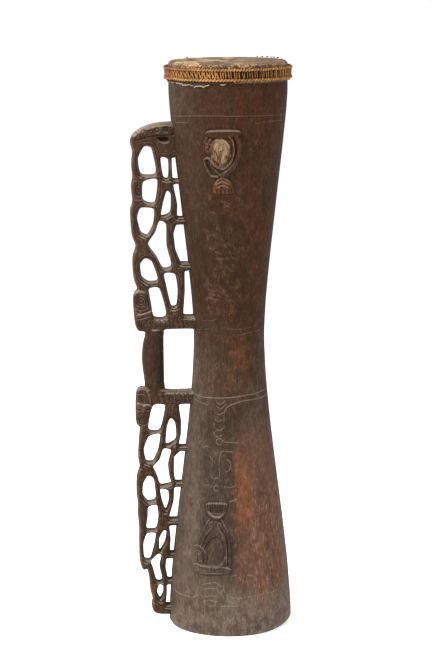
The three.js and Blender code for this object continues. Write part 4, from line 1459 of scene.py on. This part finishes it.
def dried_skin():
    """Old lizard skin: grey-beige with cream mottling, small scales on its shoulder, and a pale torn edge."""
    f = Finish("dried_skin")
    x, _, z = f.axes()
    mottle = f.cloud(55, (1, 1, 1), 5, 0.62)
    large = f.cloud(16, (1, 1, 1), 3, 0.5, (2, 0, 0))
    scales = f.cells(400)
    colour = f.blend(f.ramp(mottle, 0.40, 0.66), (0.112, 0.070, 0.044), (0.205, 0.126, 0.074))
    cream = f.ramp(mottle + 0.5 * large, 0.70, 0.86) * f.ramp(x - AXIS.x, 0.05, -0.02)
    colour = f.blend(cream * 0.9, colour, (0.50, 0.345, 0.170))
    gaps = f.ramp(scales, 0.36, 0.62)
    colour = f.blend(gaps * 0.4, colour, (0.07, 0.045, 0.032))
    side = f.ramp(z, 0.9214, 0.9175)
    colour = f.blend(side * 0.85, colour, (0.080, 0.038, 0.018))
    dots = side * f.ramp(scales, 0.56, 0.34) * f.ramp(mottle, 0.34, 0.52)
    colour = f.blend(dots * 0.85, colour, (0.55, 0.350, 0.180))
    # Painted shade: the skin behind the cane ring is painted nearly black
    hidden = f.band(z, RING_LOW.z, RING_HIGH.z - 0.004, 0.002)
    colour = f.blend(hidden * 0.92, colour, (0.010, 0.006, 0.004))
    torn = f.mark("torn")
    colour = f.blend(f.ramp(torn, 0.05, 0.3), colour, (0.050, 0.030, 0.019))
    colour = f.blend(f.ramp(torn + 0.45 * mottle, 1.02, 1.24) * 0.85, colour, (0.42, 0.33, 0.23))
    bumps = f.ramp(scales, 0.5, 0.1)
    return f.finish(colour, 0.52 + 0.2 * mottle, f.bump(bumps * 0.6 + mottle * 0.6, 0.0007, 0.8), 0.15)


def golden_cane():
    """Split cane, golden and glossy, with lighter golden patches painted as highlights, and painted shade where
    the strands turn inwards and meet.
    """
    f = Finish("golden_cane")
    x = f.axes()[0]
    tone = f.cloud(260, (1, 1, 1), 3, 0.6)
    large = f.cloud(26, (1, 1, 1), 3, 0.6, (4, 1, 0))
    colour = f.blend(f.ramp(tone * 0.5 + f.mark("strand") * 0.5, 0.30, 0.66),
                     (0.072, 0.021, 0.005), (0.30, 0.116, 0.023))
    # Lighter golden patches at random: painted highlights
    colour = f.blend(f.ramp(large + 0.3 * tone, 0.58, 0.84) * 0.5, colour, (0.55, 0.300, 0.090))
    left = f.ramp(x - AXIS.x, -0.080, -0.095)
    colour = f.blend(left * 0.8, colour, (0.20, 0.055, 0.018))
    # Painted shade where the strands turn inwards, lie towards the drum and end
    colour = f.blend(f.ramp(f.mark("crease"), 0.05, 0.75) * 0.95, colour, (0.014, 0.005, 0.002))
    return f.finish(colour, 0.34 + 0.25 * tone, f.bump(tone, 0.0005, 0.5), 0.22)


def old_wax():
    """Nearly black wax, a little lighter in small flecks."""
    f = Finish("tuning_wax")
    rough = f.cloud(500, (1, 1, 1), 3, 0.6)
    colour = f.blend(f.ramp(rough, 0.4, 0.7), (0.022, 0.010, 0.007), (0.07, 0.032, 0.02))
    return f.finish(colour, 0.38 + 0.3 * rough, f.bump(rough, 0.0005, 0.6))


def studio_paper():
    """The white floor, which glows a little so that it stays white."""
    f = Finish("studio_paper")
    tone = f.cloud(3, (1, 1, 1), 2, 0.5)
    colour = f.blend(tone, (0.90, 0.90, 0.90), (0.93, 0.93, 0.93))
    f.shader.inputs["Emission Color"].default_value = (1, 1, 1, 1)
    f.shader.inputs["Emission Strength"].default_value = 0.66
    return f.finish(colour, 0.9, f.bump(tone, 0.0001, 0.1), 0.1)


# The stage
# The camera: its place, how far it looks down and how far it is rolled, in degrees, and its lens in mm
CAMERA_PLACE = (AXIS.x - 0.021, -3.7, 1.135)
CAMERA_PITCH = 9.8
CAMERA_ROLL = 0.3
CAMERA_LENS = 128.7
# The floor reaches this far from the middle, in metres
FLOOR_REACH = 80
# The lamps: (name, place, height of the point looked at, size, power)
LAMPS = (
    ("key", (-2.4, -1.9, 2.6), 0.55, 0.9, 110),
    ("fill", (2.2, -2.6, 1.6), 0.45, 1.4, 22),
    ("top", (0.1, -0.2, 2.9), 0.8, 1.0, 46),
    ("left edge", (-2.6, 1.3, 1.5), 0.5, 1.2, 36),
)


def look_from(camera):
    """Puts the camera in its place, looking a little down at the drum."""
    pitch = math.radians(CAMERA_PITCH)
    roll = math.radians(CAMERA_ROLL)
    forward = Vector((0, math.cos(pitch), -math.sin(pitch)))
    upward = Vector((0, math.sin(pitch), math.cos(pitch)))
    right = Vector((1, 0, 0))
    across = right * math.cos(roll) - upward * math.sin(roll)
    up = right * math.sin(roll) + upward * math.cos(roll)
    turn = Matrix((across, up, -forward)).transposed()
    camera.matrix_world = Matrix.Translation(CAMERA_PLACE) @ turn.to_4x4()


def soft_light(name, place, height, size, power):
    """A round soft lamp that looks at a height on the drum's axis."""
    data = bpy.data.lights.new(name, "AREA")
    data.shape = "DISK"
    data.size = size
    data.energy = power
    lamp = bpy.data.objects.new(name, data)
    bpy.context.scene.collection.objects.link(lamp)
    lamp.location = place
    lamp.rotation_euler = (Vector((0, 0, height)) - Vector(place)).to_track_quat("-Z", "Y").to_euler()


class DRUM_OT_log(bpy.types.Operator):
    """Make the carved log with its two figures and incised lines"""
    bl_idname = "drum.carved_log"
    bl_label = "Carved log"

    def execute(self, context):
        make_log(context.scene.drum_log, old_wood(context.scene.drum_wood, "carved_wood"))
        return {"FINISHED"}


class DRUM_OT_handle(bpy.types.Operator):
    """Make the openwork handle"""
    bl_idname = "drum.openwork_handle"
    bl_label = "Openwork handle"

    def execute(self, context):
        make_handle(context.scene.drum_handle, old_wood(context.scene.drum_wood, "handle_wood", True))
        return {"FINISHED"}


class DRUM_OT_skin(bpy.types.Operator):
    """Make the skin head with its ragged edge"""
    bl_idname = "drum.skin_head"
    bl_label = "Skin head"

    def execute(self, context):
        make_skin(context.scene.drum_head, dried_skin())
        return {"FINISHED"}


class DRUM_OT_ring(bpy.types.Operator):
    """Make the plaited cane ring"""
    bl_idname = "drum.cane_ring"
    bl_label = "Cane ring"

    def execute(self, context):
        make_ring(context.scene.drum_head, golden_cane())
        return {"FINISHED"}


class DRUM_OT_wax(bpy.types.Operator):
    """Make the lumps of tuning wax"""
    bl_idname = "drum.tuning_wax"
    bl_label = "Tuning wax"

    def execute(self, context):
        wax = old_wax()
        for number in range(1, 9):
            make_lump(number, wax)
        return {"FINISHED"}


class DRUM_OT_stage(bpy.types.Operator):
    """Set out the floor, the lights and the camera"""
    bl_idname = "drum.stage"
    bl_label = "Stage"

    def execute(self, context):
        scene = context.scene
        mesh = bpy.data.meshes.new("floor")
        corners = [(x * FLOOR_REACH, y * FLOOR_REACH, 0) for x, y in ((-1, -1), (1, -1), (1, 1), (-1, 1))]
        mesh.from_pydata(corners, [], [(0, 1, 2, 3)])
        mesh.materials.append(studio_paper())
        floor = bpy.data.objects.new("floor", mesh)
        scene.collection.objects.link(floor)
        world = bpy.data.worlds.new("studio")
        world.use_nodes = True
        studio = NodeSet(world.node_tree)
        seen = studio.node("ShaderNodeLightPath").outputs["Is Camera Ray"]
        strength = studio.node("ShaderNodeMapRange", {}, {"Value": seen, "To Min": 0.4, "To Max": 1.0})
        background = world.node_tree.nodes["Background"]
        studio.feed(background.inputs["Color"], (1, 1, 1))
        studio.feed(background.inputs["Strength"], strength.outputs[0])
        scene.world = world
        scene.view_settings.view_transform = "Standard"
        for lamp in LAMPS:
            soft_light(*lamp)
        camera = bpy.data.objects.new("camera", bpy.data.cameras.new("camera"))
        camera.data.lens = CAMERA_LENS
        camera.data.sensor_width = 36
        camera.data.clip_end = 200
        scene.collection.objects.link(camera)
        look_from(camera)
        scene.camera = camera
        return {"FINISHED"}


class DRUM_PT_panel(bpy.types.Panel):
    """The drum's pieces and their sizes"""
    bl_label = "Drum"
    bl_idname = "DRUM_PT_panel"
    bl_space_type = "VIEW_3D"
    bl_region_type = "UI"
    bl_category = "Drum"

    def draw(self, context):
        scene = context.scene
        for group in (scene.drum_log, scene.drum_handle, scene.drum_head, scene.drum_wood):
            for name in group.__annotations__:
                self.layout.prop(group, name)
        for operator in OPERATORS:
            self.layout.operator(operator.bl_idname)


GROUPS = (LogSizes, HandleSizes, HeadSizes, WoodColours)
OPERATORS = (DRUM_OT_stage, DRUM_OT_log, DRUM_OT_handle, DRUM_OT_skin, DRUM_OT_ring, DRUM_OT_wax)


def register():
    for kind in (*GROUPS, *OPERATORS, DRUM_PT_panel):
        bpy.utils.register_class(kind)
    bpy.types.Scene.drum_log = PointerProperty(type=LogSizes)
    bpy.types.Scene.drum_handle = PointerProperty(type=HandleSizes)
    bpy.types.Scene.drum_head = PointerProperty(type=HeadSizes)
    bpy.types.Scene.drum_wood = PointerProperty(type=WoodColours)


def unregister():
    for name in ("drum_log", "drum_handle", "drum_head", "drum_wood"):
        delattr(bpy.types.Scene, name)
    for kind in reversed((*GROUPS, *OPERATORS, DRUM_PT_panel)):
        bpy.utils.unregister_class(kind)


def main():
    """Makes the stage and every piece."""
    register()
    bpy.ops.drum.stage()
    bpy.ops.drum.carved_log()
    bpy.ops.drum.openwork_handle()
    bpy.ops.drum.skin_head()
    bpy.ops.drum.cane_ring()
    bpy.ops.drum.tuning_wax()


if __name__ == "__main__":
    main()
